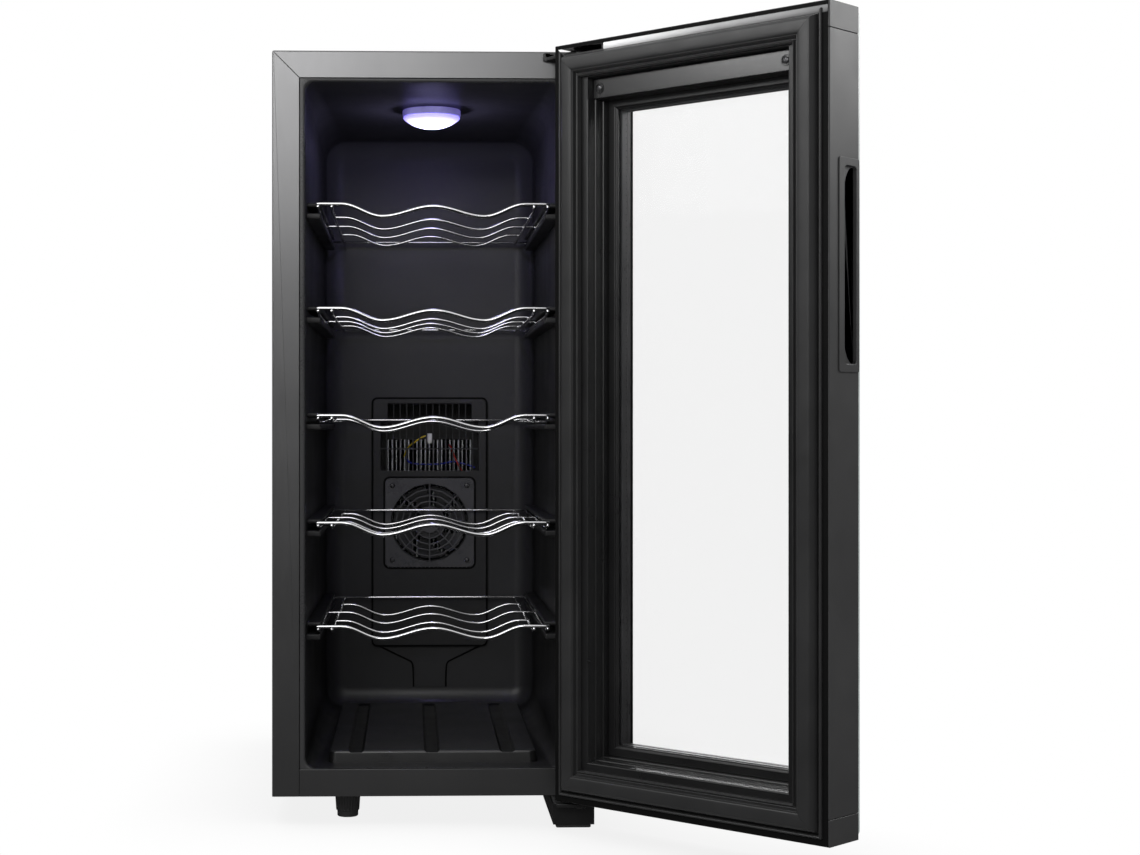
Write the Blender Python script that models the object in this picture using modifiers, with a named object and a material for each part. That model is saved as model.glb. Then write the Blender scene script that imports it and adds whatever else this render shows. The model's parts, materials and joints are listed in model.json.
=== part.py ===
"""Twelve-bottle thermoelectric wine cooler, door open, as an assembly of separate pieces.

Lengths below are millimetres in the cabinet's own frame: X to the right, Y to the
back with the cabinet's front plane at 0, Z up from the floor. The parent empty
moves that frame so that the origin is at the centre of the object's footprint.
"""

import math

import bmesh
import bpy
from mathutils import Matrix, Vector

# ---------------------------------------------------------------- dimensions
CAB_W, CAB_H, CAB_D = 268.0, 620.0, 459.0
CAB_Z0 = 23.5
CAB_Z1 = CAB_Z0 + CAB_H
HALF = CAB_W / 2
SHEET = 1.2
FLANGE = 22.5
LINER_HALF, LINER_Z0, LINER_Z1, LINER_Y = 106.6, 46.8, 617.8, 343.0
LINER_T = 1.5
FOAM_BACK = 398.0
GAP = 0.3

SHELF_Z = (517.5, 430.0, 340.0, 250.0, 163.0)
SHELF_Y = (15.0, 94.0, 173.0, 252.0, 331.0)

PIN_X, PIN_Y = 120.0, -26.5
DOOR_OPEN_DEG = 135.0
DOOR_Z0, DOOR_Z1 = 25.0, 642.0
DOOR_U0, DOOR_U1 = -251.5, 11.5
FACE_V = 18.5
DOOR_T = 44.0
CAP_H = 20.0

FAN_Z = 234.0
HOT_FAN_Z = 250.0

# centre of the footprint with the door open, in the cabinet frame
CENTRE_X, CENTRE_Y = 90.405, 122.052


def v_of(w):
    """Door depth w, from the inner face outwards, as the door frame's Y."""
    return FACE_V - w


# ---------------------------------------------------------------- scene
for ob in list(bpy.data.objects):
    bpy.data.objects.remove(ob, do_unlink=True)

PARTS = bpy.data.collections.new("wine_cooler")
CUTTERS = bpy.data.collections.new("wine_cooler_cutters")
for coll in (PARTS, CUTTERS):
    bpy.context.scene.collection.children.link(coll)
CUTTERS.hide_render = True


def empty(name, loc, parent=None, rot_z=0.0):
    ob = bpy.data.objects.new(name, None)
    ob.empty_display_size = 0.05
    ob.location = [c * 0.001 for c in loc]
    ob.rotation_euler = (0, 0, rot_z)
    ob.parent = parent
    PARTS.objects.link(ob)
    return ob


CABINET = empty("cabinet_axis", (-CENTRE_X, -CENTRE_Y, 0))
DOOR = empty("door_axis", (PIN_X, PIN_Y, 0), CABINET, math.radians(DOOR_OPEN_DEG))

MATERIALS = {}


def material(name, rgb, rough, metal=0.0, alpha=1.0):
    if name not in MATERIALS:
        m = bpy.data.materials.new(name)
        m.use_nodes = True
        p = m.node_tree.nodes["Principled BSDF"]
        p.inputs["Base Color"].default_value = (*rgb, 1)
        p.inputs["Roughness"].default_value = rough
        p.inputs["Metallic"].default_value = metal
        p.inputs["Alpha"].default_value = alpha
        m.diffuse_color = (*rgb, alpha)
        MATERIALS[name] = m
    return MATERIALS[name]


BLACK_STEEL = ("satin_black_steel", (0.03, 0.03, 0.032), 0.42, 0.3)
BLACK_PLASTIC = ("black_plastic", (0.02, 0.02, 0.022), 0.45)
LINER_PLASTIC = ("liner_plastic", (0.03, 0.03, 0.034), 0.5)
CHROME = ("chrome_wire", (0.82, 0.83, 0.85), 0.12, 1.0)
ALUMINIUM = ("aluminium", (0.72, 0.73, 0.75), 0.35, 1.0)
STEEL = ("zinc_steel", (0.5, 0.5, 0.52), 0.35, 1.0)
RUBBER = ("black_rubber", (0.025, 0.025, 0.027), 0.7)
GLASS = ("clear_glass", (0.93, 0.95, 0.95), 0.03, 0.0, 0.3)
FOAM = ("foam", (0.85, 0.78, 0.55), 0.9)
BOARD = ("circuit_board", (0.05, 0.22, 0.1), 0.5)
WHITE = ("white_plastic", (0.85, 0.85, 0.83), 0.4)


class Shape:
    """A mesh put together from primitives, in millimetres."""

    def __init__(self):
        self.bm = bmesh.new()

    def _add(self, part):
        me = bpy.data.meshes.new("tmp")
        part.to_mesh(me)
        part.free()
        self.bm.from_mesh(me)
        bpy.data.meshes.remove(me)
        return self

    def box(self, lo, hi, r=0.0, axis="Y", seg=3, test=None, move=None):
        """A box; edges along axis, or those that pass test, are rounded by r."""
        b = bmesh.new()
        bmesh.ops.create_cube(b, size=1.0)
        lo, hi = Vector(lo), Vector(hi)
        for v in b.verts:
            v.co = Vector([lo[i] + (v.co[i] + 0.5) * (hi[i] - lo[i]) for i in range(3)])
            if move:
                v.co = Vector(move(v.co))
        if r:
            k = "XYZ".index(axis)

            def along(e):
                d = (e.verts[0].co - e.verts[1].co).normalized()
                return abs(d[k]) > 0.9

            chosen = [e for e in b.edges if (test(e) if test else along(e))]
            bmesh.ops.bevel(b, geom=chosen, offset=r, offset_type="OFFSET", segments=seg,
                            profile=0.5, affect="EDGES", clamp_overlap=False)
        return self._add(b)

    def cyl(self, centre, r, length, axis="Z", seg=24, r2=None):
        b = bmesh.new()
        bmesh.ops.create_cone(b, cap_ends=True, segments=seg, radius1=r,
                              radius2=r if r2 is None else r2, depth=length)
        turn = {"Z": Matrix.Identity(3), "Y": Matrix.Rotation(-math.pi / 2, 3, "X"),
                "X": Matrix.Rotation(math.pi / 2, 3, "Y")}[axis]
        for v in b.verts:
            v.co = turn @ v.co + Vector(centre)
        return self._add(b)

    def loft(self, rings):
        """A closed skin through rings of the same number of points, the first facing -Y."""
        b = bmesh.new()
        rows = [[b.verts.new(p) for p in ring] for ring in rings]
        n = len(rows[0])
        for i in range(len(rows) - 1):
            for j in range(n):
                k = (j + 1) % n
                b.faces.new((rows[i][j], rows[i][k], rows[i + 1][k], rows[i + 1][j]))
        b.faces.new(list(reversed(rows[0])))
        b.faces.new(rows[-1])
        bmesh.ops.recalc_face_normals(b, faces=b.faces[:])
        return self._add(b)

    def place(self, name, parent, mat=None, at=(0, 0, 0), coll=None, smooth=0.0):
        """Makes the object, its origin at 'at' (millimetres in the parent's frame)."""
        for v in self.bm.verts:
            v.co = (v.co - Vector(at)) * 0.001
        me = bpy.data.meshes.new(name)
        self.bm.to_mesh(me)
        self.bm.free()
        ob = bpy.data.objects.new(name, me)
        (coll or PARTS).objects.link(ob)
        ob.parent = parent
        ob.location = [c * 0.001 for c in at]
        if mat:
            me.materials.append(material(*mat))
        if smooth:
            me.shade_smooth()
            me.set_sharp_from_angle(angle=math.radians(smooth))
        return ob

    def helper(self, name, parent, at=(0, 0, 0)):
        ob = self.place(name, parent, at=at, coll=CUTTERS)
        ob.hide_render = True
        ob.display_type = "WIRE"
        return ob


def boolean(ob, shape, op="DIFFERENCE", name=None):
    """Cuts or joins the shape, given in the same frame, to the object."""
    name = name or f"{ob.name}_{op.lower()}_{len(ob.modifiers)}"
    other = shape.helper(name, ob.parent)
    m = ob.modifiers.new(op.title(), "BOOLEAN")
    m.operation = op
    m.solver = "EXACT"
    m.object = other
    return ob


def lathe(name, parent, profile, mat, at, axis="Z", steps=24, closed=False, coll=None):
    """A turned piece: profile of (radius, height) points running down its outer side."""
    me = bpy.data.meshes.new(name)
    b = bmesh.new()
    vs = [b.verts.new((r * 0.001, 0, h * 0.001)) for r, h in profile]
    for i in range(len(vs) - 1):
        b.edges.new((vs[i], vs[i + 1]))
    if closed:
        b.edges.new((vs[-1], vs[0]))
    b.to_mesh(me)
    b.free()
    ob = bpy.data.objects.new(name, me)
    (coll or PARTS).objects.link(ob)
    ob.parent = parent
    ob.location = [c * 0.001 for c in at]
    if axis == "Y":
        ob.rotation_euler = (-math.pi / 2, 0, 0)
    m = ob.modifiers.new("Turn", "SCREW")
    m.steps = m.render_steps = steps
    m.use_merge_vertices = True
    m.merge_threshold = 0.00001
    m.use_normal_calculate = False
    me.materials.append(material(*mat))
    return ob


def flat_outline(name, parent, loops, thick, mat, at, plane="XZ", coll=None):
    """A flat sheet with holes: loops of points, the first the outline."""
    cu = bpy.data.curves.new(name, "CURVE")
    cu.dimensions = "2D"
    cu.fill_mode = "BOTH"
    cu.extrude = thick * 0.0005
    for pts in loops:
        sp = cu.splines.new("POLY")
        sp.points.add(len(pts) - 1)
        for p, (x, y) in zip(sp.points, pts):
            p.co = (x * 0.001, y * 0.001, 0, 1)
        sp.use_cyclic_u = True
    ob = bpy.data.objects.new(name, cu)
    (coll or PARTS).objects.link(ob)
    ob.parent = parent
    ob.location = [c * 0.001 for c in at]
    if plane == "XZ":
        ob.rotation_euler = (math.pi / 2, 0, 0)
    cu.materials.append(material(*mat))
    return ob


def to_mesh(ob):
    """The curve object as a mesh object of the same name, its caps welded."""
    bpy.context.view_layer.update()
    graph = bpy.context.evaluated_depsgraph_get()
    me = bpy.data.meshes.new_from_object(ob.evaluated_get(graph))
    b = bmesh.new()
    b.from_mesh(me)
    bmesh.ops.remove_doubles(b, verts=b.verts[:], dist=0.000002)
    b.to_mesh(me)
    b.free()
    name, parent, coll = ob.name, ob.parent, ob.users_collection[0]
    loc, rot = ob.location.copy(), ob.rotation_euler.copy()
    bpy.data.objects.remove(ob, do_unlink=True)
    new = bpy.data.objects.new(name, me)
    coll.objects.link(new)
    new.parent, new.location, new.rotation_euler = parent, loc, rot
    return new


def tube(name, parent, pts, radius, mat, res=1, coll=None):
    """A wire along points in millimetres."""
    cu = bpy.data.curves.new(name, "CURVE")
    cu.dimensions = "3D"
    cu.bevel_depth = radius * 0.001
    cu.bevel_resolution = res
    cu.use_fill_caps = True
    sp = cu.splines.new("POLY")
    sp.points.add(len(pts) - 1)
    for p, q in zip(sp.points, pts):
        p.co = (q[0] * 0.001, q[1] * 0.001, q[2] * 0.001, 1)
    ob = bpy.data.objects.new(name, cu)
    (coll or PARTS).objects.link(ob)
    ob.parent = parent
    cu.materials.append(material(*mat))
    return ob


# ---------------------------------------------------------------- cabinet
def outer_edges(e):
    """The shell's front edges and its two top edges."""
    a, b = e.verts[0].co, e.verts[1].co
    front = a.y < 0.1 and b.y < 0.1
    top = a.z > CAB_Z1 - 0.1 and b.z > CAB_Z1 - 0.1 and abs(a.x - b.x) < 0.1
    bottom = a.z < CAB_Z0 + 0.1 and b.z < CAB_Z0 + 0.1
    return (front or top) and not bottom


shell = Shape().box((-HALF, 0, CAB_Z0), (HALF, CAB_D, CAB_Z1), r=1.4, seg=2,
                    test=outer_edges).place("outer_shell", CABINET, BLACK_STEEL, smooth=40)
boolean(shell, Shape().box((-HALF + SHEET, SHEET, CAB_Z0 - 9), (HALF - SHEET, CAB_D + 9, CAB_Z1 - SHEET)))
boolean(shell, Shape().box((-HALF + FLANGE, -5, CAB_Z0 - 5), (HALF - FLANGE, 5, CAB_Z1 - FLANGE)))
# mitre joints at the two upper corners of the front flange
mitre = Shape()
for side in (-1, 1):
    def slant(co, s=side):
        t = co.z - (CAB_Z1 - FLANGE)
        return (co.x + s * (HALF - FLANGE + t), co.y, co.z)
    mitre.box((-0.25, -3, CAB_Z1 - FLANGE - 3), (0.25, 0.5, CAB_Z1 - 2), move=slant)
boolean(shell, mitre)

pan = Shape().box((-HALF + SHEET + GAP, 1.6, CAB_Z0), (HALF - SHEET - GAP, 456.3, CAB_Z0 + 1.5)) \
    .place("base_pan", CABINET, BLACK_STEEL)
RAIL_HALF = HALF - FLANGE - GAP
boolean(pan, Shape().box((-RAIL_HALF, 0, CAB_Z0), (RAIL_HALF, SHEET, CAB_Z0 + FLANGE)), "UNION")
boolean(pan, Shape().box((-RAIL_HALF, 0.3, CAB_Z0 + 0.1), (RAIL_HALF, 2.4, CAB_Z0 + 1.4)), "UNION")
FEET = {"front_left": (-72.4, 40.0), "rear_left": (-95.0, 420.0), "rear_right": (95.0, 420.0)}
holes = Shape()
for x, y in FEET.values():
    holes.cyl((x, y, CAB_Z0 + 1), 3.6, 12, seg=16)
boolean(pan, holes)


def rounded(half_x, z0, z1, r, y, k=4):
    """Rounded-rectangle ring at depth y, counter-clockwise seen from the front."""
    pts = []
    for cx, cz, a0 in ((half_x - r, z0 + r, -90), (half_x - r, z1 - r, 0),
                       (-half_x + r, z1 - r, 90), (-half_x + r, z0 + r, 180)):
        for i in range(k + 1):
            a = math.radians(a0 + 90 * i / k)
            pts.append((cx + r * math.cos(a), y, cz + r * math.sin(a)))
    return pts


def liner_rings(off, y0):
    """The moulded liner's inside, drafted, with a 20 mm cove at the back, grown by off."""
    rings = [rounded(LINER_HALF + off, LINER_Z0 - off, LINER_Z1 + off, 9 + off, y0)]
    yc, bx, bz = LINER_Y - 20, LINER_HALF - 2.35, 1.9
    for deg in (0, 30, 60, 90):
        t = math.radians(deg)
        out = -20 + (20 + off) * math.cos(t)
        rings.append(rounded(bx + out, LINER_Z0 + bz - out, LINER_Z1 - bz + out,
                             2 + (20 + off) * math.cos(t), yc + (20 + off) * math.sin(t)))
    return rings


def floor_step(off, z0=None):
    """The raised part of the cabinet floor, from z0 or from inside the sloping floor."""
    def sole(c):
        return (c.x, c.y, c.z if c.z > 50 or z0 else LINER_Z0 + 1.9 * (c.y + 5) / 328 - 0.7)
    return Shape().box((-87 + off, 28 + off, z0 or 40), (87 - off, 317 - off, 57 - off), move=sole)


liner = Shape().loft(liner_rings(LINER_T, 1.6)).place("inner_liner", CABINET, LINER_PLASTIC, smooth=35)
boolean(liner, Shape().box((-RAIL_HALF, GAP, 46.3), (RAIL_HALF, 6, 620.7)), "UNION")
boolean(liner, Shape().loft(liner_rings(0, -5)))
boolean(liner, floor_step(0), "UNION")
boolean(liner, floor_step(LINER_T, 30.0))
grooves = Shape()
for x in (-65, -1, 63):
    grooves.box((x - 6.5, 34, 56.2), (x + 6.5, 311, 60))
boolean(liner, grooves)


def wall_x(y):
    return LINER_HALF - 2.35 * (y + 5) / (LINER_Y - 15)


ledges = Shape()
for z in SHELF_Z:
    for s in (-1, 1):
        for y0, y1, a, b in ((22, 322, z - 11.8, z - 6.8), (30, 322, z - 1.1, z + 2.6)):
            def lean(co, s=s):
                far = wall_x(co.y) + 0.8
                return (s * (94.5 if abs(co.x) < 100 else far), co.y, co.z)
            ledges.box((-110 if s < 0 else 94.5, y0, a), (-94.5 if s < 0 else 110, y1, b), move=lean)
boolean(liner, ledges, "UNION")
boolean(liner, Shape().box((-50, 330, 117), (50, 350, 353)))
boolean(liner, Shape().cyl((0, 143, 618), 5, 14, seg=12))

foam = Shape().box((-HALF + SHEET + GAP, 1.7, CAB_Z0 + 1.8),
                   (HALF - SHEET - GAP, FOAM_BACK, CAB_Z1 - SHEET - GAP)) \
    .place("foam_insulation", CABINET, FOAM)
boolean(foam, Shape().loft(liner_rings(LINER_T + 0.4, -5)))
boolean(foam, Shape().box((-RAIL_HALF - 0.4, -5, 45.9), (RAIL_HALF + 0.4, 6.4, 621.1)))
boolean(foam, floor_step(LINER_T + 0.4, 40.0), "UNION")
boolean(foam, Shape().box((-52, 335, 114), (52, 391, 356)))
boolean(foam, Shape().box((-22, 385, 228), (22, 402, 272)))
studs = Shape()
for x, y in FEET.values():
    studs.cyl((x, y, 30), 4.6, 24, seg=12)
boolean(foam, studs)
boolean(foam, Shape().cyl((0, 143, 621), 5, 12, seg=12))

# ---------------------------------------------------------------- back of the cabinet
rear = Shape().box((-HALF + SHEET + GAP, 457, CAB_Z0 + 1.8), (HALF - SHEET - GAP, 458.2, CAB_Z1 - SHEET - GAP)) \
    .place("rear_panel", CABINET, BLACK_STEEL)
vents = Shape()
vents.cyl((0, 457.6, HOT_FAN_Z), 44, 8, axis="Y", seg=40)
for z in range(500, 600, 16):
    for x in (-62, 62):
        vents.box((x - 40, 450, z), (x + 40, 465, z + 6))
for z in range(330, 400, 16):
    vents.box((-60, 450, z), (60, 465, z + 6))
vents.box((61.2, 450, 58.7), (89.8, 465, 79.9))
boolean(rear, vents)


def arc(r, a0, a1, step=15.0):
    n = max(2, int(round(abs(a1 - a0) / step)) + 1)
    return [(r * math.cos(math.radians(a0 + (a1 - a0) * i / (n - 1))),
             r * math.sin(math.radians(a0 + (a1 - a0) * i / (n - 1)))) for i in range(n)]


def guard(name, half, corner, rings, bar, spokes, mat, at, thick):
    """A moulded finger guard: a square plate with rings and spokes left between openings."""
    outline = []
    for sx, sz, a0 in ((1, -1, -90), (1, 1, 0), (-1, 1, 90), (-1, -1, 180)):
        for i in range(4):
            a = math.radians(a0 + 30 * i)
            outline.append((sx * (half - corner) + corner * math.cos(a),
                            sz * (half - corner) + corner * math.sin(a)))
    loops = [outline]
    for r0, r1 in zip(rings[:-1], rings[1:]):
        inner, outer = r0 + bar / 2, r1 - bar / 2
        for s, e in zip(spokes, spokes[1:] + [spokes[0] + 360]):
            da, db = math.degrees(bar / 2 / inner), math.degrees(bar / 2 / outer)
            loops.append(arc(inner, s + da, e - da, 18) + arc(outer, e - db, s + db, 18))
    return to_mesh(flat_outline(name, CABINET, loops, thick, mat, at))


SPOKES = [-90, -45, 45, 90, 135, 225]
guard("inner_fan_guard", 44.6, 5, [9.5, 15.5, 21.5, 27.5, 33.5, 40], 1.5, SPOKES,
      BLACK_PLASTIC, (0, 339.2, FAN_Z), 2.0)
guard("rear_fan_guard", 50, 8, [10, 19, 28, 37, 44], 2.0, [-135, -45, 45, 135],
      BLACK_PLASTIC, (0, 459.7, HOT_FAN_Z), 2.4)

cover = Shape().box((-56.5, 338.3, 111.4), (56.5, 342.7, 358), r=4, axis="Y", seg=2) \
    .place("duct_cover", CABINET, LINER_PLASTIC)
boolean(cover, Shape().box((-54.5, 340.5, 113.4), (54.5, 350, 356), r=3, axis="Y", seg=1))
boolean(cover, Shape().box((-44.9, 330, FAN_Z - 44.9), (44.9, 350, FAN_Z + 44.9), r=5.2, axis="Y", seg=3))
slots = Shape()
for z0, z1, half in ((337.0, 353.8, 42.6), (309.0, 335.4, 49.8), (286.4, 307.4, 49.8)):
    n = round(2 * half / 6.75)
    pitch = 2 * half / n
    for i in range(n):
        x = -half + pitch * i
        slots.box((x + 0.6, 330, z0), (x + pitch - 0.6, 345, z1))
boolean(cover, slots)

drain = Shape().box((-46, 341.0, 93), (46, 342.7, 111), move=lambda c: (
    c.x * (16 / 46 if c.z < 95 else 1), c.y, c.z)).place("drain_channel", CABINET, LINER_PLASTIC)
boolean(drain, Shape().box((-16, 341.0, 68.5), (16, 342.7, 93.6)), "UNION")
boolean(drain, Shape().box((-14, 338, 66), (14, 341.7, 97)))


def fan(prefix, size, bore, y0, depth, z, blades, at_front):
    """An axial fan: square frame with struts, and its rotor on a short shaft."""
    h = size / 2
    frame = Shape().box((-h, y0, z - h), (h, y0 + depth, z + h), r=4, axis="Y", seg=2) \
        .place(f"{prefix}_frame", CABINET, BLACK_PLASTIC)
    boolean(frame, Shape().cyl((0, y0 + depth / 2, z), bore, depth + 4, axis="Y", seg=36))
    back = y0 + depth - 3
    strut = Shape()
    strut.box((-bore - 1, back, z - 1.5), (bore + 1, back + 2.6, z + 1.5))
    boolean(frame, strut, "UNION")
    boolean(frame, Shape().box((-1.5, back, z - bore - 1), (1.5, back + 2.6, z + bore + 1)), "UNION")
    boolean(frame, Shape().cyl((0, back + 1.3, z), 15, 2.8, axis="Y", seg=24), "UNION")
    boolean(frame, Shape().cyl((0, back, z), 2.4, 12, axis="Y", seg=12))
    tip = bore - 1.5
    y_mid = (y0 + 1.5 + back - 1.5) / 2
    hub_len = back - 1.5 - (y0 + 1.5)
    rotor = Shape().cyl((0, y_mid, z), 16, hub_len, axis="Y", seg=24) \
        .place(f"{prefix}_rotor", CABINET, BLACK_PLASTIC, at=(0, y_mid, z))
    vanes = Shape()
    for i in range(blades):
        b = bmesh.new()
        bmesh.ops.create_cube(b, size=1.0)
        bmesh.ops.subdivide_edges(
            b, edges=[e for e in b.edges if abs(e.verts[0].co.x - e.verts[1].co.x) > 0.5],
            cuts=2, use_grid_fill=True)
        turn = Matrix.Rotation(2 * math.pi * i / blades, 3, "Y")
        for v in b.verts:
            rad = 14.5 + (v.co.x + 0.5) * (tip - 14.5)
            chord = min(hub_len * 0.95, 11.0 + 3.0 * (v.co.x + 0.5))
            a = math.radians(50 - 14 * (v.co.x + 0.5))
            p = Vector((rad, v.co.y * chord * math.sin(a) + v.co.z * 1.4 * math.cos(a),
                        v.co.y * chord * math.cos(a) * 1.25 - v.co.z * 1.4 * math.sin(a)))
            v.co = turn @ p + Vector((0, y_mid, z))
        bmesh.ops.recalc_face_normals(b, faces=b.faces[:])
        vanes._add(b)
    boolean(rotor, vanes, "UNION")
    boolean(rotor, Shape().cyl((0, back + 0.2, z), 1.9, 4.4, axis="Y", seg=12), "UNION")
    return frame, rotor


fan("inner_fan", 80, 38, 343.6, 20, FAN_Z, 7, True)
fan("hot_fan", 92, 44, 431.4, 24, HOT_FAN_Z, 7, False)


def sink(name, half_x, z0, z1, y_base, base_t, fin_len, pitch, fin_t, towards):
    """A finned heat sink, its base at y_base and its fins pointing along towards (-1 or 1)."""
    a, b = sorted((y_base, y_base + base_t))
    ob = Shape().box((-half_x, a, z0), (half_x, b, z1)).place(name, CABINET, ALUMINIUM)
    fins = Shape()
    n = int(round(2 * half_x / pitch))
    for i in range(n + 1):
        x = -half_x + fin_t / 2 + (2 * half_x - fin_t) * i / n
        if towards < 0:
            fins.box((x - fin_t / 2, a - fin_len, z0 + 0.1), (x + fin_t / 2, a + 0.5, z1 - 0.1))
        else:
            fins.box((x - fin_t / 2, b - 0.5, z0 + 0.1), (x + fin_t / 2, b + fin_len, z1 - 0.1))
    # the end fins keep clear of the base's own side faces
    for v in fins.bm.verts:
        v.co.x *= (half_x - 0.05) / half_x
    boolean(ob, fins, "UNION")
    return ob


sink("cold_sink", 42.5, 187, 317, 384.5, 5.5, 18, 4.25, 1.0, -1)
Shape().box((-20, 390.3, 230), (20, 396.0, 270)).place("cold_block", CABINET, ALUMINIUM)
Shape().box((-20, 396.3, 230), (20, 399.7, 270)).place("peltier_module", CABINET, WHITE)
sink("hot_sink", 50, 190, 310, 400, 6, 24.5, 5.0, 1.2, 1)

psu = Shape().box((-100, 401, 40), (20, 402.6, 128)).place("power_board", CABINET, BOARD)
blocks = Shape().box((-90, 402.2, 50), (-58, 424, 78)).box((-50, 402.2, 48), (-24, 412, 66)) \
    .box((-92, 402.2, 96), (-40, 420, 99)).cyl((-10, 411, 60), 7, 18, axis="Y", seg=12) \
    .cyl((6, 411, 84), 6, 18, axis="Y", seg=12).box((-30, 402.2, 84), (-12, 415, 112))
boolean(psu, blocks, "UNION")

inlet = Shape().box((58.5, 458.6, 56), (92.5, 460.6, 82.6), r=2, axis="Y", seg=2) \
    .place("power_inlet", CABINET, BLACK_PLASTIC)
boolean(inlet, Shape().box((61.6, 441, 59.1), (89.4, 459.4, 79.5)), "UNION")
boolean(inlet, Shape().box((63.6, 444, 61.1), (87.4, 465, 77.5), r=3, axis="Y", seg=1))
boolean(inlet, Shape().box((67.5, 443, 66), (69.5, 457, 70)).box((81.5, 443, 66), (83.5, 457, 70))
        .box((74.5, 443, 70.5), (76.5, 457, 74.5)), "UNION")

# leads and the sensor plug above the inner fan, held inside the cabinet
tube("sensor_lead", CABINET, [(-26, 364, 300), (-22, 354, 309), (-16, 351, 314), (-9, 350, 319), (-3, 350, 321.5)],
     0.8, ("yellow_lead", (0.85, 0.7, 0.05), 0.5))
Shape().box((-2.4, 347.5, 313.5), (2.6, 352.5, 323.5), r=0.8, axis="Z", seg=1) \
    .place("sensor_plug", CABINET, WHITE)
tube("fan_lead_red", CABINET, [(20, 364, 312), (22, 356, 309), (25, 352, 301), (29, 350, 292), (33, 351, 285), (34, 355, 279)],
     0.8, ("red_lead", (0.6, 0.04, 0.03), 0.5))
tube("fan_lead_blue", CABINET, [(-24, 356, 298), (-18, 351, 293.5), (-4, 350, 292.5), (12, 350, 293), (24, 353.6, 295),
                                (36, 351, 292.5), (46, 351, 289)],
     0.8, ("blue_lead", (0.05, 0.06, 0.45), 0.5))

for i, (sx, sz) in enumerate(((-1, 1), (1, 1), (-1, -1), (1, -1))):
    lathe(f"fan_screw_{i + 1}", CABINET, [(0, 1.5), (1.6, 1.2), (2.6, 0.2), (2.6, 0), (0, 0)], STEEL,
          (sx * 37.4, 337.9, FAN_Z + sz * 37.4), axis="Y", steps=12).rotation_euler = (math.pi / 2, 0, 0)

# ---------------------------------------------------------------- interior lamp
CEIL = 616.9
lathe("lamp_base", CABINET, [(0, 0), (26, 0), (26.2, -1), (26.2, -5.6), (23.4, -6.4), (23.4, -2), (0, -2)],
      WHITE, (0, 143, CEIL - 0.2), steps=24)
lathe("lamp_board", CABINET, [(0, 0), (20, 0), (20, -1.4), (3, -1.4), (2.4, -3), (0, -3)],
      ("led_board", (0.9, 0.9, 0.88), 0.4), (0, 143, CEIL - 2.6), steps=16)
lathe("lamp_lens", CABINET, [(0, -5.8), (22.8, -5.8), (22.8, -7), (25.6, -7.2), (25.6, -8), (22.5, -10.5), (17, -13.6), (10, -15.8), (4, -16.7), (0, -16.9)],
      ("lamp_lens", (0.9, 0.92, 1.0), 0.25), (0, 143, CEIL), steps=24)

# ---------------------------------------------------------------- feet
for name, (x, y) in FEET.items():
    lathe(f"foot_{name}", CABINET,
          [(0, 36), (2.4, 36), (3.0, 35), (3.0, 23.1), (11.5, 23.1), (11.5, 21.6), (11.0, 20.8), (9.9, 5.2),
           (8.9, 4.8), (8.9, 0.8), (8.3, 0), (0, 0)], BLACK_PLASTIC, (x, y, 0), steps=16)

# ---------------------------------------------------------------- hinges
arm = Shape().box((91, -2.9, 634.85), (122.5, -0.3, 642.0), r=2.2, axis="Y", seg=2) \
    .place("top_hinge_bracket", CABINET, BLACK_STEEL)
tab = flat_outline("top_tab", CABINET,
                   [[(94, -0.5), (94, -4)] +
                    [(PIN_X + 9 * math.cos(math.radians(a)), PIN_Y + 9 * math.sin(math.radians(a)))
                     for a in range(205, 396, 19)] + [(116, -4), (116, -0.5)]],
                   2.9, BLACK_STEEL, (0, 0, 636.45), plane="XY", coll=CUTTERS)
tab = to_mesh(tab)
tab.hide_render, tab.display_type = True, "WIRE"
m = arm.modifiers.new("Union", "BOOLEAN")
m.operation, m.solver, m.object = "UNION", "EXACT", tab
boolean(arm, Shape().cyl((PIN_X, PIN_Y, 636), 3.4, 12, seg=20))
lathe("top_hinge_pin", CABINET, [(0, 639.9), (4.6, 639.9), (5.0, 639.4), (5.0, 638.3), (3.0, 638.3), (3.0, 624), (2.2, 623), (0, 623)],
      STEEL, (PIN_X, PIN_Y, 0), steps=14)

base = Shape().box((98.3, -37, 20.2), (132.5, 112, 23.1), r=6, axis="Z", seg=2,
                   test=lambda e: abs(e.verts[0].co.z - e.verts[1].co.z) > 1 and e.verts[0].co.y < -30) \
    .place("bottom_hinge_bracket", CABINET, BLACK_STEEL)
boolean(base, Shape().box((98.35, -19.5, 3), (132.45, 111.5, 20.6)), "UNION")
boolean(base, Shape().box((100.4, -17.5, -5), (130.4, 120, 20.2)))
boolean(base, Shape().cyl((PIN_X, PIN_Y, 21.6), 3.4, 12, seg=20))
lathe("bottom_hinge_pin", CABINET, [(0, 41), (2.2, 41), (3.0, 40), (3.0, 19.9), (5.0, 19.9), (5.0, 18.8), (4.6, 18.3), (0, 18.3)],
      STEEL, (PIN_X, PIN_Y, 0), steps=14)
Shape().box((101.0, -17.0, 0), (129.8, 12, 19.8), r=1.5, axis="Z", seg=2) \
    .place("hinge_foot", CABINET, BLACK_PLASTIC)

# ---------------------------------------------------------------- wire shelves
FRONT_R, WIRE_R = 1.75, 1.25


def wave(x):
    """Height of a wavy cross wire at x: level ends, two bottle dips, a low middle crest."""
    a = abs(x)
    if a >= 77:
        return 0.0
    if a >= 43:
        t = (77 - a) / 34
        return -10.2 * (1 - math.cos(math.pi * t)) / 2
    t = a / 43
    return -1.7 + (-10.2 + 1.7) * (1 - math.cos(math.pi * t)) / 2


def wave_points(half, y, z):
    """Points at the level ends, the dips, the crest, and evenly between them."""
    right = [43 * i / 3 for i in range(4)] + [43 + 34 * i / 3 for i in range(1, 4)] + [half]
    xs = [-x for x in reversed(right[1:])] + right
    return [(x, y, z + wave(x)) for x in xs]


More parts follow.
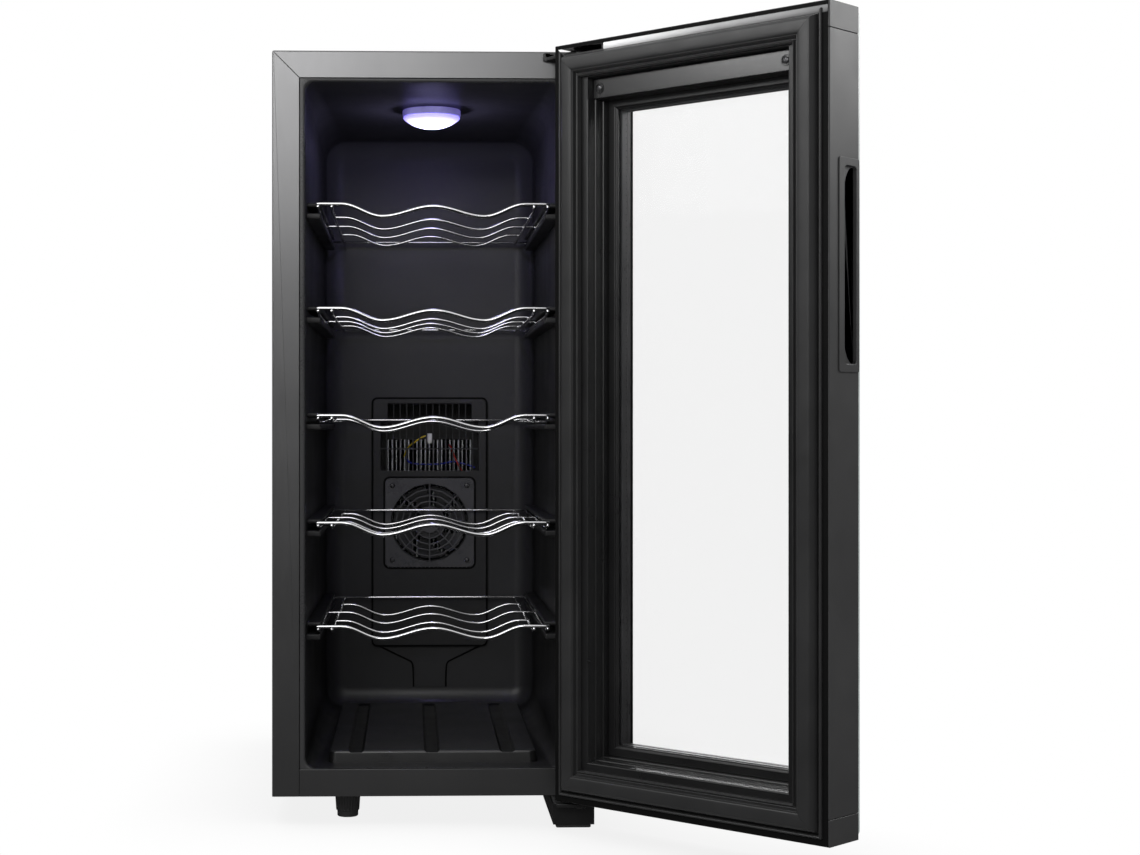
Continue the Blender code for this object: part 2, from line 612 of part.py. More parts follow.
def shelf_mesh():
    cross = [tube("front", None, wave_points(98, SHELF_Y[0], 0), FRONT_R, CHROME, coll=CUTTERS)]
    for y, half in ((SHELF_Y[1], 86), (SHELF_Y[2], 97.5), (SHELF_Y[3], 86)):
        cross.append(tube("cross", None, wave_points(half, y, -3), WIRE_R, CHROME, res=0, coll=CUTTERS))
    cross.append(tube("back", None, [(-97.5, SHELF_Y[4], -3), (97.5, SHELF_Y[4], -3)], WIRE_R, CHROME, res=0, coll=CUTTERS))
    rails = []
    for x in (-96.5, -85, 85, 96.5):
        rails.append(tube("rail", None, [(x, SHELF_Y[4] + 1.6, -5), (x, 28, -5), (x, 18, -2.4), (x, 12.6, -2.4)],
                          WIRE_R, CHROME, res=0, coll=CUTTERS))
    groups = []
    for name, wires in (("shelf_cross_wires", cross), ("shelf_rails", rails)):
        b = bmesh.new()
        for w in wires:
            w = to_mesh(w)
            b.from_mesh(w.data)
            bpy.data.objects.remove(w, do_unlink=True)
        me = bpy.data.meshes.new(name)
        b.to_mesh(me)
        b.free()
        ob = bpy.data.objects.new(name, me)
        CUTTERS.objects.link(ob)
        ob.hide_render, ob.display_type = True, "WIRE"
        groups.append(ob)
    m = groups[0].modifiers.new("Weld", "BOOLEAN")
    m.operation, m.solver, m.object = "UNION", "EXACT", groups[1]
    bpy.context.view_layer.update()
    graph = bpy.context.evaluated_depsgraph_get()
    me = bpy.data.meshes.new_from_object(groups[0].evaluated_get(graph))
    for ob in groups:
        bpy.data.objects.remove(ob, do_unlink=True)
    me.materials.clear()
    me.materials.append(material(*CHROME))
    return me


SHELF = shelf_mesh()
for i, z in enumerate(SHELF_Z):
    ob = bpy.data.objects.new(f"shelf_{i + 1}", SHELF)
    PARTS.objects.link(ob)
    ob.parent = CABINET
    ob.location = (0, 0, z * 0.001)

# ---------------------------------------------------------------- door, in the hinge pin's frame
# u runs from the hinge edge (+) to the free edge (-); w is depth from the inner face
W_GLASS = DOOR_T - 4.0
W_BACK = W_GLASS - 0.3


def dbox(shape, e0, e1, z0, z1, w0, w1, **kw):
    """A box across the door between e0 from the free edge and e1 from the hinge edge."""
    return shape.box((DOOR_U0 + e0, v_of(w1), z0), (DOOR_U1 - e1, v_of(w0), z1), **kw)


Z_LO, Z_HI = DOOR_Z0 + CAP_H + 0.3, DOOR_Z1 - CAP_H - 0.3


def free_edge(e):
    a, b = e.verts[0].co, e.verts[1].co
    return abs(a.z - b.z) > 1 and a.y > 0


frame = dbox(Shape(), 0, 0, Z_LO, Z_HI, 0, W_BACK, r=1.5, seg=2, test=free_edge) \
    .place("door_frame", DOOR, BLACK_PLASTIC, smooth=40)


def taper(co):
    """Slopes the window's walls inwards over the first 20 mm of depth."""
    w = FACE_V - co.y
    inn = 4.0 if w > 10 else 0.0
    mid = (DOOR_U0 + DOOR_U1) / 2
    return (co.x - math.copysign(inn, co.x - mid), co.y, co.z + (inn if co.z < 300 else 0))


boolean(frame, dbox(Shape(), 34.1, 34.1, DOOR_Z0 + 34.1, DOOR_Z1 - 47, -1, 21, move=taper))
boolean(frame, dbox(Shape(), 35, 35, DOOR_Z1 - 60, DOOR_Z1 - 30, -1, 9.2))
boolean(frame, dbox(Shape(), 38.5, 38.5, DOOR_Z0 + 38.5, DOOR_Z1 - 45, 20.4, 50))
boolean(frame, dbox(Shape(), 50, 50, DOOR_Z1 - 43.5, DOOR_Z1 - 31, 5, 23.5))
hollow = dbox(Shape(), 3, 263 - 31, Z_LO - 5, Z_HI + 5, 3, 38)
dbox(hollow, 263 - 31, 3, Z_LO - 5, Z_HI + 5, 3, 38)
boolean(frame, hollow)
boolean(frame, dbox(Shape(), -1, 258, 374.6, 525.4, 17.7, 37.8, r=5.3, axis="X", seg=2))

top = dbox(Shape(), 0, 0, DOOR_Z1 - CAP_H, DOOR_Z1, 0, W_BACK, r=1.5, seg=2,
           test=lambda e: free_edge(e) or (e.verts[0].co.z > DOOR_Z1 - 1 and e.verts[1].co.z > DOOR_Z1 - 1
                                           and e.verts[0].co.y > 0 and e.verts[1].co.y > 0)) \
    .place("door_top_cap", DOOR, BLACK_PLASTIC, smooth=40)
boolean(top, Shape().box((-38, -16, 633.5), (30, 30, 640.3)))
boolean(top, Shape().cyl((0, 0, 624), 5.4, 30, seg=20))
bottom = dbox(Shape(), 0, 0, DOOR_Z0, DOOR_Z0 + CAP_H, 0, W_BACK, r=1.5, seg=2,
              test=lambda e: free_edge(e) or (e.verts[0].co.z < DOOR_Z0 + 1 and e.verts[1].co.z < DOOR_Z0 + 1
                                              and e.verts[0].co.y > 0 and e.verts[1].co.y > 0)) \
    .place("door_bottom_cap", DOOR, BLACK_PLASTIC, smooth=40)
boolean(bottom, Shape().cyl((0, 0, 35), 5.4, 40, seg=20))
for name, z0, z1 in (("top_hinge_bush", 622.4, 633.2), ("bottom_hinge_bush", 25.4, 44.6)):
    lathe(name, DOOR, [(5.05, z1), (5.05, z0), (3.3, z0), (3.3, z1)], WHITE, (0, 0, 0), steps=14, closed=True)

dbox(Shape(), 1.5, 1.5, DOOR_Z0 + 1.5, DOOR_Z1 - 1.5, W_GLASS, DOOR_T, r=5, axis="Y", seg=3) \
    .place("outer_glass", DOOR, ("black_edged_glass", (0.05, 0.05, 0.055), 0.05, 0.0, 0.5))
dbox(Shape(), 39.5, 39.5, DOOR_Z0 + 39.5, DOOR_Z1 - 46, 24.6, 27.6).place("inner_glass", DOOR, GLASS)


def ring(name, out, inn, w0, w1, mat, r=0.0, edge=None):
    """A frame-shaped piece; out and inn are (side, bottom, top) distances from the door's edges."""
    ob = dbox(Shape(), out[0], out[0], DOOR_Z0 + out[1], DOOR_Z1 - out[2], w0, w1, r=r, seg=2, test=edge) \
        .place(name, DOOR, mat, smooth=40)
    boolean(ob, dbox(Shape(), inn[0], inn[0], DOOR_Z0 + inn[1], DOOR_Z1 - inn[2], w0 - 5, w1 + 5))
    return ob


ring("glass_spacer", (41, 41, 48), (48, 48, 54), 27.9, 39.7, ALUMINIUM)
ring("glass_trim", (39, 39, 46.2), (48, 48, 54), 21.2, 24.3, BLACK_PLASTIC)


def crest(e):
    """The gasket's outer edges on the side that meets the cabinet."""
    return e.verts[0].co.y > FACE_V + 5 and e.verts[1].co.y > FACE_V + 5


gasket = ring("door_gasket", (7.5, 7.5, 7.5), (28.5, 28.5, 28.5), -7.3, -0.3, RUBBER, r=2.0, edge=crest)
groove = dbox(Shape(), 14, 14, DOOR_Z0 + 14, DOOR_Z1 - 14, -9, -4.6)
island = dbox(Shape(), 22, 22, DOOR_Z0 + 22, DOOR_Z1 - 22, -12, 5)
g = groove.place("gasket_groove", DOOR, coll=CUTTERS)
g.hide_render, g.display_type = True, "WIRE"
boolean(g, island)
m = gasket.modifiers.new("Groove", "BOOLEAN")
m.operation, m.solver, m.object = "DIFFERENCE", "EXACT", g

plate = dbox(Shape(), 35.4, 35.4, DOOR_Z1 - 46.6, DOOR_Z1 - 30.4, 6.8, 8.9).place("control_cover", DOOR, BLACK_PLASTIC)
SCREW_U = (DOOR_U0 + 42, DOOR_U1 - 42)
holes = Shape()
for u in SCREW_U:
    holes.cyl((u, v_of(8), DOOR_Z1 - 38.5), 1.5, 10, axis="Y", seg=12)
boolean(plate, holes)
for name, u in (("cover_screw_free_side", SCREW_U[0]), ("cover_screw_hinge_side", SCREW_U[1])):
    lathe(name, DOOR, [(0, 1.6), (1.5, 1.5), (2.8, 0.6), (2.8, 0), (1.2, 0), (1.2, -2.2), (0, -2.2)], STEEL,
          (u, v_of(6.5), DOOR_Z1 - 38.5), axis="Y", steps=12).rotation_euler = (-math.pi / 2, 0, 0)
pcb = dbox(Shape(), 53, 53, DOOR_Z1 - 43, DOOR_Z1 - 32, 12, 13.4).place("control_board", DOOR, BOARD)
boolean(pcb, dbox(dbox(dbox(Shape(), 70, 175, DOOR_Z1 - 41, DOOR_Z1 - 34, 13, 19), 110, 125, DOOR_Z1 - 41,
                       DOOR_Z1 - 34, 13, 20), 170, 70, DOOR_Z1 - 41, DOOR_Z1 - 34, 13, 17), "UNION")

grip = dbox(Shape(), -0.9, 263 + 0.3, 371, 529, 12.5, 39.3, r=2, axis="X", seg=2) \
    .place("handle_insert", DOOR, BLACK_PLASTIC)
boolean(grip, dbox(Shape(), -0.6, 263 - 21, 375, 525, 18, 37.5, r=5, axis="X", seg=2), "UNION")
boolean(grip, dbox(Shape(), -5, 263 - 1.8, 377, 523, 19.6, 35.9, r=3, axis="X", seg=2))


def pull(e):
    """The finger pull's outline at depth e: straight towards the room, swept round towards the window."""
    side = [(33.4 - 12.4 * math.sin(math.radians(a)), 31 * math.cos(math.radians(a))) for a in range(0, 91, 15)]
    pts = [(35.9, 378.0)] + [(w, 409.0 - h) for w, h in side] + [(w, 491.0 + h) for w, h in reversed(side)]
    pts.append((35.9, 522.0))
    return [(DOOR_U0 + e, v_of(w), z) for w, z in pts]


boolean(grip, Shape().loft([pull(0.8), pull(19.4)]))
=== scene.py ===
"""Looks of the wine cooler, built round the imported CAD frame.

Lengths are millimetres in the cabinet's own frame (front plane at y = 0, z up from the
floor) or in the door's frame (e from a door edge, w from its inner face outwards), and
are turned into the shared frame in metres when a mesh is made.
"""

import json
import math

import bmesh
import bpy
import numpy as np
from mathutils import Matrix, Vector

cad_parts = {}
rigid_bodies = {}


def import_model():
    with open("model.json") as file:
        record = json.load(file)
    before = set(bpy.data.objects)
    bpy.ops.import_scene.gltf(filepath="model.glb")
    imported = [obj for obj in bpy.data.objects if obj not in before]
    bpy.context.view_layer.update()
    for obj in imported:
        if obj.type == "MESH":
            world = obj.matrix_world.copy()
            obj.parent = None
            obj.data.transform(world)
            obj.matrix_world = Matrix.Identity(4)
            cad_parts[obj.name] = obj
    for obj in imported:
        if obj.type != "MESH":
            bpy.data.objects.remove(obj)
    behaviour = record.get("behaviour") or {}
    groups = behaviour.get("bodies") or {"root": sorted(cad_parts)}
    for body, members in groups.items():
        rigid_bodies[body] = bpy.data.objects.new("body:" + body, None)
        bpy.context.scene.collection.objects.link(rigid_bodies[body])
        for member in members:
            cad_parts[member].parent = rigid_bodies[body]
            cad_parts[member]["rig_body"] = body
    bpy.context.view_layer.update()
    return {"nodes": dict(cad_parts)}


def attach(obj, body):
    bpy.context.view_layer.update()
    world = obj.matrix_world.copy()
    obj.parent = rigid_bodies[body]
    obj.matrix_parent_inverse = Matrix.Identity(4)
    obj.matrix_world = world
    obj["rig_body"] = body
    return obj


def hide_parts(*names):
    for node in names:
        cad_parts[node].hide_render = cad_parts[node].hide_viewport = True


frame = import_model()
NODES = frame["nodes"]
SCENE = bpy.context.scene

# ---------------------------------------------------------------- camera
cam_data = bpy.data.cameras.new("camera")
cam_data.sensor_width = 36.0
cam_data.lens = 36.0 * 1972.0 / 1140.0
cam_data.shift_x = 0.0908
cam_data.shift_y = -0.0030
cam_data.dof.use_dof = False
cam_data.clip_start, cam_data.clip_end = 0.05, 60.0
cam = bpy.data.objects.new("camera", cam_data)
SCENE.collection.objects.link(cam)
cam.location = (-0.1087, -1.7631, 0.333)
cam.rotation_euler = (math.radians(90), 0, math.radians(-1.6))
SCENE.camera = cam
SCENE.view_settings.view_transform = "Standard"
SCENE.view_settings.look = "None"

# ---------------------------------------------------------------- frames
CX, CY = 90.405, 122.052
PIN = (120.0, -26.5)
U0, U1 = -251.5, 11.5
FACE_V = 18.5
DZ0, DZ1 = 25.0, 642.0
COS, SIN = math.cos(math.radians(135)), math.sin(math.radians(135))


def C(x, y, z):
    return Vector(((x - CX) * 0.001, (y - CY) * 0.001, z * 0.001))


def D(u, w, z):
    v = FACE_V - w
    return C(PIN[0] + COS * u - SIN * v, PIN[1] + SIN * u + COS * v, z)


# ---------------------------------------------------------------- materials
def new_material(name):
    m = bpy.data.materials.new(name)
    m.use_nodes = True
    nt = m.node_tree
    nt.nodes.clear()
    out = nt.nodes.new("ShaderNodeOutputMaterial")
    return m, nt, out


def coords(nt, scale=(1, 1, 1), rot=(0, 0, 0)):
    tc = nt.nodes.new("ShaderNodeTexCoord")
    mp = nt.nodes.new("ShaderNodeMapping")
    mp.inputs["Scale"].default_value = scale
    mp.inputs["Rotation"].default_value = rot
    nt.links.new(tc.outputs["Object"], mp.inputs["Vector"])
    return mp.outputs["Vector"]


def noise(nt, vec, scale, detail=3.0, rough=0.55):
    n = nt.nodes.new("ShaderNodeTexNoise")
    n.inputs["Scale"].default_value = scale
    n.inputs["Detail"].default_value = detail
    n.inputs["Roughness"].default_value = rough
    nt.links.new(vec, n.inputs["Vector"])
    return n.outputs["Fac"]


def remap(nt, val, a, b, lo=0.3, hi=0.7):
    r = nt.nodes.new("ShaderNodeMapRange")
    r.inputs["From Min"].default_value = lo
    r.inputs["From Max"].default_value = hi
    r.inputs["To Min"].default_value = a
    r.inputs["To Max"].default_value = b
    nt.links.new(val, r.inputs["Value"])
    return r.outputs["Result"]


def mix_rgb(nt, fac, a, b):
    m = nt.nodes.new("ShaderNodeMix")
    m.data_type = "RGBA"
    m.inputs["A"].default_value = (*a, 1)
    m.inputs["B"].default_value = (*b, 1)
    nt.links.new(fac, m.inputs["Factor"])
    return m.outputs["Result"]


def bump(nt, height, strength, dist, after=None):
    b = nt.nodes.new("ShaderNodeBump")
    b.inputs["Strength"].default_value = strength
    b.inputs["Distance"].default_value = dist
    nt.links.new(height, b.inputs["Height"])
    if after is not None:
        nt.links.new(after, b.inputs["Normal"])
    return b.outputs["Normal"]


def surface(name, dark, light, rough, metal=0.0, grain=900.0, grain_depth=0.00002, stretch=(1, 1, 1),
            rough_vary=0.05, mottle=12.0, specular=0.5, coat=0.0, coat_rough=0.1, sheen=0.0, strength=0.5,
            waviness=0.0):
    """A solid finish: two close tones mottled over a wide scale, a fine grain, and roughness that drifts."""
    m, nt, out = new_material(name)
    p = nt.nodes.new("ShaderNodeBsdfPrincipled")
    nt.links.new(p.outputs["BSDF"], out.inputs["Surface"])
    wide = coords(nt)
    fine = coords(nt, stretch)
    tone = noise(nt, wide, mottle, 4.0)
    nt.links.new(mix_rgb(nt, remap(nt, tone, 0.0, 1.0), dark, light), p.inputs["Base Color"])
    g = noise(nt, fine, grain, 2.0)
    r1 = remap(nt, noise(nt, wide, mottle * 2.7, 5.0), rough - rough_vary, rough + rough_vary)
    add = nt.nodes.new("ShaderNodeMath")
    add.operation = "ADD"
    nt.links.new(r1, add.inputs[0])
    nt.links.new(remap(nt, g, -rough_vary * 0.6, rough_vary * 0.6), add.inputs[1])
    nt.links.new(add.outputs[0], p.inputs["Roughness"])
    normal = None
    if waviness:
        normal = bump(nt, noise(nt, wide, 22.0, 1.0), waviness, 0.0006)
    nt.links.new(bump(nt, g, strength, grain_depth, normal), p.inputs["Normal"])
    p.inputs["Metallic"].default_value = metal
    p.inputs["Specular IOR Level"].default_value = specular
    p.inputs["Coat Weight"].default_value = coat
    p.inputs["Coat Roughness"].default_value = coat_rough
    p.inputs["Sheen Weight"].default_value = sheen
    return m


M = {}
M["steel_black"] = surface("satin_black_steel", (0.172, 0.172, 0.174), (0.192, 0.192, 0.194), 0.3, metal=0.93,
                           grain=700, stretch=(1, 1, 0.06), grain_depth=0.000004, rough_vary=0.015, mottle=5,
                           strength=0.3)
M["steel_black_top"] = surface("satin_black_steel_across", (0.172, 0.172, 0.174), (0.192, 0.192, 0.194), 0.3,
                               metal=0.93, grain=700, stretch=(0.06, 1, 1), grain_depth=0.000004,
                               rough_vary=0.015, mottle=5, strength=0.3)
M["frame_plastic"] = surface("moulded_black_plastic", (0.0062, 0.0062, 0.0064), (0.009, 0.009, 0.0093), 0.32,
                             grain=1500, grain_depth=0.000008, mottle=14, rough_vary=0.04, specular=0.55,
                             strength=0.3)
M["cap_plastic"] = surface("satin_cap_plastic", (0.008, 0.008, 0.0082), (0.0115, 0.0115, 0.0118), 0.3, grain=1800,
                           grain_depth=0.000008, mottle=16, rough_vary=0.04, specular=0.6, strength=0.3)
# satin finish for the door's free edge and handle insert, lighter than the frame plastic: the extra lightness is
# painted light
M["edge_finish"] = surface("satin_edge_finish", (0.03, 0.03, 0.0305), (0.037, 0.037, 0.0376), 0.36, grain=1500,
                           grain_depth=0.000008, mottle=14, rough_vary=0.04, specular=0.85, strength=0.3)
# near-black matt, used as painted shade in joints and recesses and for the drain channel's ribs
M["deep_black"] = surface("matt_black_and_painted_shade", (0.0018, 0.0018, 0.0018), (0.0026, 0.0026, 0.0026), 0.6, grain=1500,
                          grain_depth=0.00001, mottle=14, rough_vary=0.05, specular=0.12, strength=0.3)
M["gloss_plastic"] = surface("polished_black_plastic", (0.007, 0.007, 0.0072), (0.01, 0.01, 0.0103), 0.2,
                             grain=400, grain_depth=0.000006, mottle=10, rough_vary=0.03, specular=0.95,
                             strength=0.2)
M["liner"] = surface("moulded_liner", (0.0125, 0.0125, 0.0131), (0.0165, 0.0165, 0.0174), 0.42, grain=650,
                     grain_depth=0.00002, mottle=8, rough_vary=0.04, specular=0.42, strength=0.25, waviness=0.03)
# a lighter copy of the liner for the back wall, the floor's top and the drain trough: painted light
M["liner_back"] = surface("moulded_liner_back", (0.024, 0.024, 0.0255), (0.029, 0.029, 0.031), 0.4, grain=650,
                          grain_depth=0.00002, mottle=8, rough_vary=0.04, specular=0.5, strength=0.25)
M["liner_lip"] = surface("liner_front_lip", (0.026, 0.026, 0.0268), (0.033, 0.033, 0.034), 0.3, grain=650,
                         grain_depth=0.00002, mottle=8, rough_vary=0.04, specular=0.5, strength=0.25)
M["duct"] = surface("moulded_duct_cover", (0.021, 0.021, 0.0218), (0.027, 0.027, 0.028), 0.4, grain=1300,
                    grain_depth=0.00003, mottle=10, rough_vary=0.05, specular=0.45)
M["guard"] = surface("moulded_guard", (0.066, 0.066, 0.069), (0.084, 0.084, 0.087), 0.3, grain=1500,
                     grain_depth=0.00002, mottle=20, rough_vary=0.05, specular=0.6)
M["rubber"] = surface("soft_seal", (0.013, 0.013, 0.0133), (0.018, 0.018, 0.0184), 0.36, grain=2200,
                      grain_depth=0.00001, mottle=18, rough_vary=0.06, specular=0.5, sheen=0.05)
M["foot_rubber"] = surface("foot_rubber", (0.014, 0.014, 0.014), (0.022, 0.022, 0.022), 0.5, grain=1600,
                           grain_depth=0.00004, mottle=40, rough_vary=0.08)
M["chrome"] = surface("chromed_wire", (0.86, 0.86, 0.88), (0.93, 0.93, 0.94), 0.1, metal=1.0, grain=500,
                      grain_depth=0.000008, mottle=60, rough_vary=0.035, strength=0.3)
M["aluminium"] = surface("mill_aluminium", (0.8, 0.81, 0.82), (0.9, 0.91, 0.92), 0.34, metal=0.45, grain=900,
                         stretch=(1, 1, 0.05), grain_depth=0.00003, mottle=25, rough_vary=0.08)
M["spacer"] = surface("black_anodised_spacer", (0.05, 0.05, 0.052), (0.075, 0.075, 0.078), 0.33, metal=0.6,
                      grain=1200, stretch=(1, 1, 0.08), grain_depth=0.00001, mottle=20, rough_vary=0.05)
M["perforation"] = surface("spacer_perforation", (0.004, 0.004, 0.004), (0.008, 0.008, 0.008), 0.7, grain=2000,
                           mottle=50)
M["zinc"] = surface("zinc_plated_steel", (0.42, 0.42, 0.43), (0.62, 0.62, 0.6), 0.3, metal=1.0, grain=700,
                    grain_depth=0.00002, mottle=90, rough_vary=0.08)
M["screw_black"] = surface("blackened_screw", (0.1, 0.1, 0.104), (0.16, 0.16, 0.165), 0.28, metal=0.8,
                           grain=900, grain_depth=0.00002, mottle=120, rough_vary=0.06)
M["foam"] = surface("blown_foam", (0.66, 0.56, 0.32), (0.82, 0.74, 0.5), 0.85, grain=420, grain_depth=0.0006,
                    mottle=30, rough_vary=0.05, specular=0.2)
M["white"] = surface("white_plastic", (0.74, 0.74, 0.72), (0.82, 0.82, 0.8), 0.35, grain=1500,
                     grain_depth=0.00002, mottle=30, rough_vary=0.05)
M["ceramic"] = surface("ceramic_wafer", (0.78, 0.78, 0.75), (0.86, 0.86, 0.83), 0.45, grain=2500, mottle=60)
M["yellow"] = surface("yellow_sleeve", (0.62, 0.44, 0.02), (0.75, 0.56, 0.03), 0.38, grain=1800, mottle=80)
M["red"] = surface("red_sleeve", (0.42, 0.02, 0.015), (0.55, 0.03, 0.02), 0.38, grain=1800, mottle=80)
M["blue"] = surface("blue_sleeve", (0.02, 0.03, 0.3), (0.03, 0.05, 0.42), 0.38, grain=1800, mottle=80)
M["print"] = surface("black_printed_border", (0.006, 0.006, 0.0065), (0.008, 0.008, 0.0085), 0.06, grain=200,
                     grain_depth=0.000004, mottle=6, rough_vary=0.012, specular=0.5, strength=0.1)
M["glass_edge"] = surface("ground_glass_edge", (0.36, 0.4, 0.39), (0.5, 0.54, 0.53), 0.2, grain=1800,
                          grain_depth=0.00003, mottle=60, rough_vary=0.06, specular=0.8)


def board_material():
    m, nt, out = new_material("circuit_board")
    p = nt.nodes.new("ShaderNodeBsdfPrincipled")
    nt.links.new(p.outputs["BSDF"], out.inputs["Surface"])
    v = coords(nt, (1, 1, 1))
    w = nt.nodes.new("ShaderNodeTexVoronoi")
    w.distance = "CHEBYCHEV"
    w.inputs["Scale"].default_value = 260.0
    nt.links.new(v, w.inputs["Vector"])
    trace = remap(nt, w.outputs["Distance"], 1.0, 0.0, 0.35, 0.42)
    nt.links.new(mix_rgb(nt, trace, (0.01, 0.1, 0.045), (0.02, 0.2, 0.09)), p.inputs["Base Color"])
    nt.links.new(bump(nt, trace, 0.4, 0.00005), p.inputs["Normal"])
    p.inputs["Roughness"].default_value = 0.3
    return m


M["board"] = board_material()


def reflection_strip_material():
    """Dark strip with a painted reflection: bright by the hinge, fading to dull at the free edge."""
    m, nt, out = new_material("strip_painted_reflection")
    p = nt.nodes.new("ShaderNodeBsdfPrincipled")
    nt.links.new(p.outputs["BSDF"], out.inputs["Surface"])
    tc = nt.nodes.new("ShaderNodeTexCoord")
    sep = nt.nodes.new("ShaderNodeSeparateXYZ")
    nt.links.new(tc.outputs["Object"], sep.inputs[0])
    along = remap(nt, sep.outputs["X"], 0.0, 1.0, 0.05, 0.2)
    # the ramp paints the reflection: near-white by the hinge, dark at the free edge
    ramp = nt.nodes.new("ShaderNodeValToRGB")
    nt.links.new(along, ramp.inputs["Fac"])
    els = ramp.color_ramp.elements
    els[0].position, els[0].color = 0.0, (0.78, 0.78, 0.785, 1)
    els[1].position, els[1].color = 1.0, (0.08, 0.08, 0.081, 1)
    e = els.new(0.45)
    e.color = (0.26, 0.26, 0.262, 1)
    nt.links.new(ramp.outputs["Color"], p.inputs["Base Color"])
    nt.links.new(remap(nt, noise(nt, coords(nt), 30.0), 0.28, 0.34), p.inputs["Roughness"])
    p.inputs["Metallic"].default_value = 0.6
    return m


M["polished_strip"] = reflection_strip_material()


def paint_front_shade(m):
    """The foam near the front, seen through the front joints, is painted near-black: painted shade in those joints."""
    nt = m.node_tree
    p = next(n for n in nt.nodes if n.type == "BSDF_PRINCIPLED")
    src = p.inputs["Base Color"].links[0].from_socket
    tc = nt.nodes.new("ShaderNodeTexCoord")
    sep = nt.nodes.new("ShaderNodeSeparateXYZ")
    nt.links.new(tc.outputs["Object"], sep.inputs[0])
    mix = nt.nodes.new("ShaderNodeMix")
    mix.data_type = "RGBA"
    nt.links.new(remap(nt, sep.outputs["Y"], 0.0, 1.0, -0.108, -0.1), mix.inputs["Factor"])
    mix.inputs["A"].default_value = (0.004, 0.004, 0.004, 1)
    nt.links.new(src, mix.inputs["B"])
    nt.links.new(mix.outputs["Result"], p.inputs["Base Color"])


paint_front_shade(M["foam"])


def clear_glass(name, tint):
    """A thin clear pane: a mirror share that rises towards grazing, the rest passes through."""
    m, nt, out = new_material(name)
    through = nt.nodes.new("ShaderNodeBsdfTransparent")
    through.inputs["Color"].default_value = (*tint, 1)
    gloss = nt.nodes.new("ShaderNodeBsdfGlossy")
    gloss.inputs["Roughness"].default_value = 0.015
    gloss.inputs["Color"].default_value = (1, 1, 1, 1)
    lw = nt.nodes.new("ShaderNodeLayerWeight")
    lw.inputs["Blend"].default_value = 0.5
    power = nt.nodes.new("ShaderNodeMath")
    power.operation = "POWER"
    power.inputs[1].default_value = 5.0
    nt.links.new(lw.outputs["Facing"], power.inputs[0])
    scale = nt.nodes.new("ShaderNodeMath")
    scale.operation = "MULTIPLY_ADD"
    scale.inputs[1].default_value = 0.9
    scale.inputs[2].default_value = 0.03
    nt.links.new(power.outputs[0], scale.inputs[0])
    mix = nt.nodes.new("ShaderNodeMixShader")
    nt.links.new(scale.outputs[0], mix.inputs["Fac"])
    nt.links.new(through.outputs[0], mix.inputs[1])
    nt.links.new(gloss.outputs[0], mix.inputs[2])
    nt.links.new(mix.outputs[0], out.inputs["Surface"])
    return m


M["pane"] = clear_glass("clear_pane", (0.998, 0.998, 0.998))


def lens_material():
    """Lit frosted lens: white-hot in the middle, blue-violet to the rim, in fine rays."""
    m, nt, out = new_material("lit_lamp_lens")
    p = nt.nodes.new("ShaderNodeBsdfPrincipled")
    nt.links.new(p.outputs["BSDF"], out.inputs["Surface"])
    p.inputs["Base Color"].default_value = (0.7, 0.72, 0.95, 1)
    p.inputs["Roughness"].default_value = 0.18
    tc = nt.nodes.new("ShaderNodeTexCoord")
    sub = nt.nodes.new("ShaderNodeVectorMath")
    sub.operation = "SUBTRACT"
    sub.inputs[1].default_value = C(0, 143, 600)
    nt.links.new(tc.outputs["Object"], sub.inputs[0])
    flat = nt.nodes.new("ShaderNodeVectorMath")
    flat.operation = "MULTIPLY"
    flat.inputs[1].default_value = (1, 1, 0)
    nt.links.new(sub.outputs[0], flat.inputs[0])
    length = nt.nodes.new("ShaderNodeVectorMath")
    length.operation = "LENGTH"
    nt.links.new(flat.outputs[0], length.inputs[0])
    ramp = nt.nodes.new("ShaderNodeValToRGB")
    nt.links.new(remap(nt, length.outputs["Value"], 0.0, 1.0, 0.0, 0.0262), ramp.inputs["Fac"])
    els = ramp.color_ramp.elements
    els[0].position, els[0].color = 0.0, (1.0, 1.0, 1.0, 1)
    els[1].position, els[1].color = 1.0, (0.16, 0.13, 0.62, 1)
    e = els.new(0.42)
    e.color = (0.93, 0.92, 1.0, 1)
    e = els.new(0.78)
    e.color = (0.42, 0.38, 0.95, 1)
    vor = nt.nodes.new("ShaderNodeTexVoronoi")
    vor.inputs["Scale"].default_value = 420.0
    nt.links.new(tc.outputs["Object"], vor.inputs["Vector"])
    pebble = remap(nt, vor.outputs["Distance"], 0.8, 1.15, 0.0, 0.6)
    mul = nt.nodes.new("ShaderNodeMix")
    mul.data_type = "RGBA"
    mul.blend_type = "MULTIPLY"
    mul.inputs["Factor"].default_value = 1.0
    nt.links.new(ramp.outputs["Color"], mul.inputs["A"])
    nt.links.new(pebble, mul.inputs["B"])
    nt.links.new(mul.outputs["Result"], p.inputs["Emission Color"])
    p.inputs["Emission Strength"].default_value = 1.9
    nt.links.new(bump(nt, vor.outputs["Distance"], 0.4, 0.0003), p.inputs["Normal"])
    return m


M["lens"] = lens_material()


def lamp_rim_material():
    m, nt, out = new_material("lamp_rim")
    p = nt.nodes.new("ShaderNodeBsdfPrincipled")
    nt.links.new(p.outputs["BSDF"], out.inputs["Surface"])
    v = coords(nt)
    nt.links.new(mix_rgb(nt, remap(nt, noise(nt, v, 60), 0, 1), (0.32, 0.32, 0.5), (0.5, 0.5, 0.7)),
                 p.inputs["Base Color"])
    p.inputs["Roughness"].default_value = 0.25
    nt.links.new(mix_rgb(nt, remap(nt, noise(nt, v, 90), 0, 1), (0.10, 0.07, 0.42), (0.26, 0.22, 0.8)),
                 p.inputs["Emission Color"])
    p.inputs["Emission Strength"].default_value = 0.42
    return m


M["lamp_rim"] = lamp_rim_material()


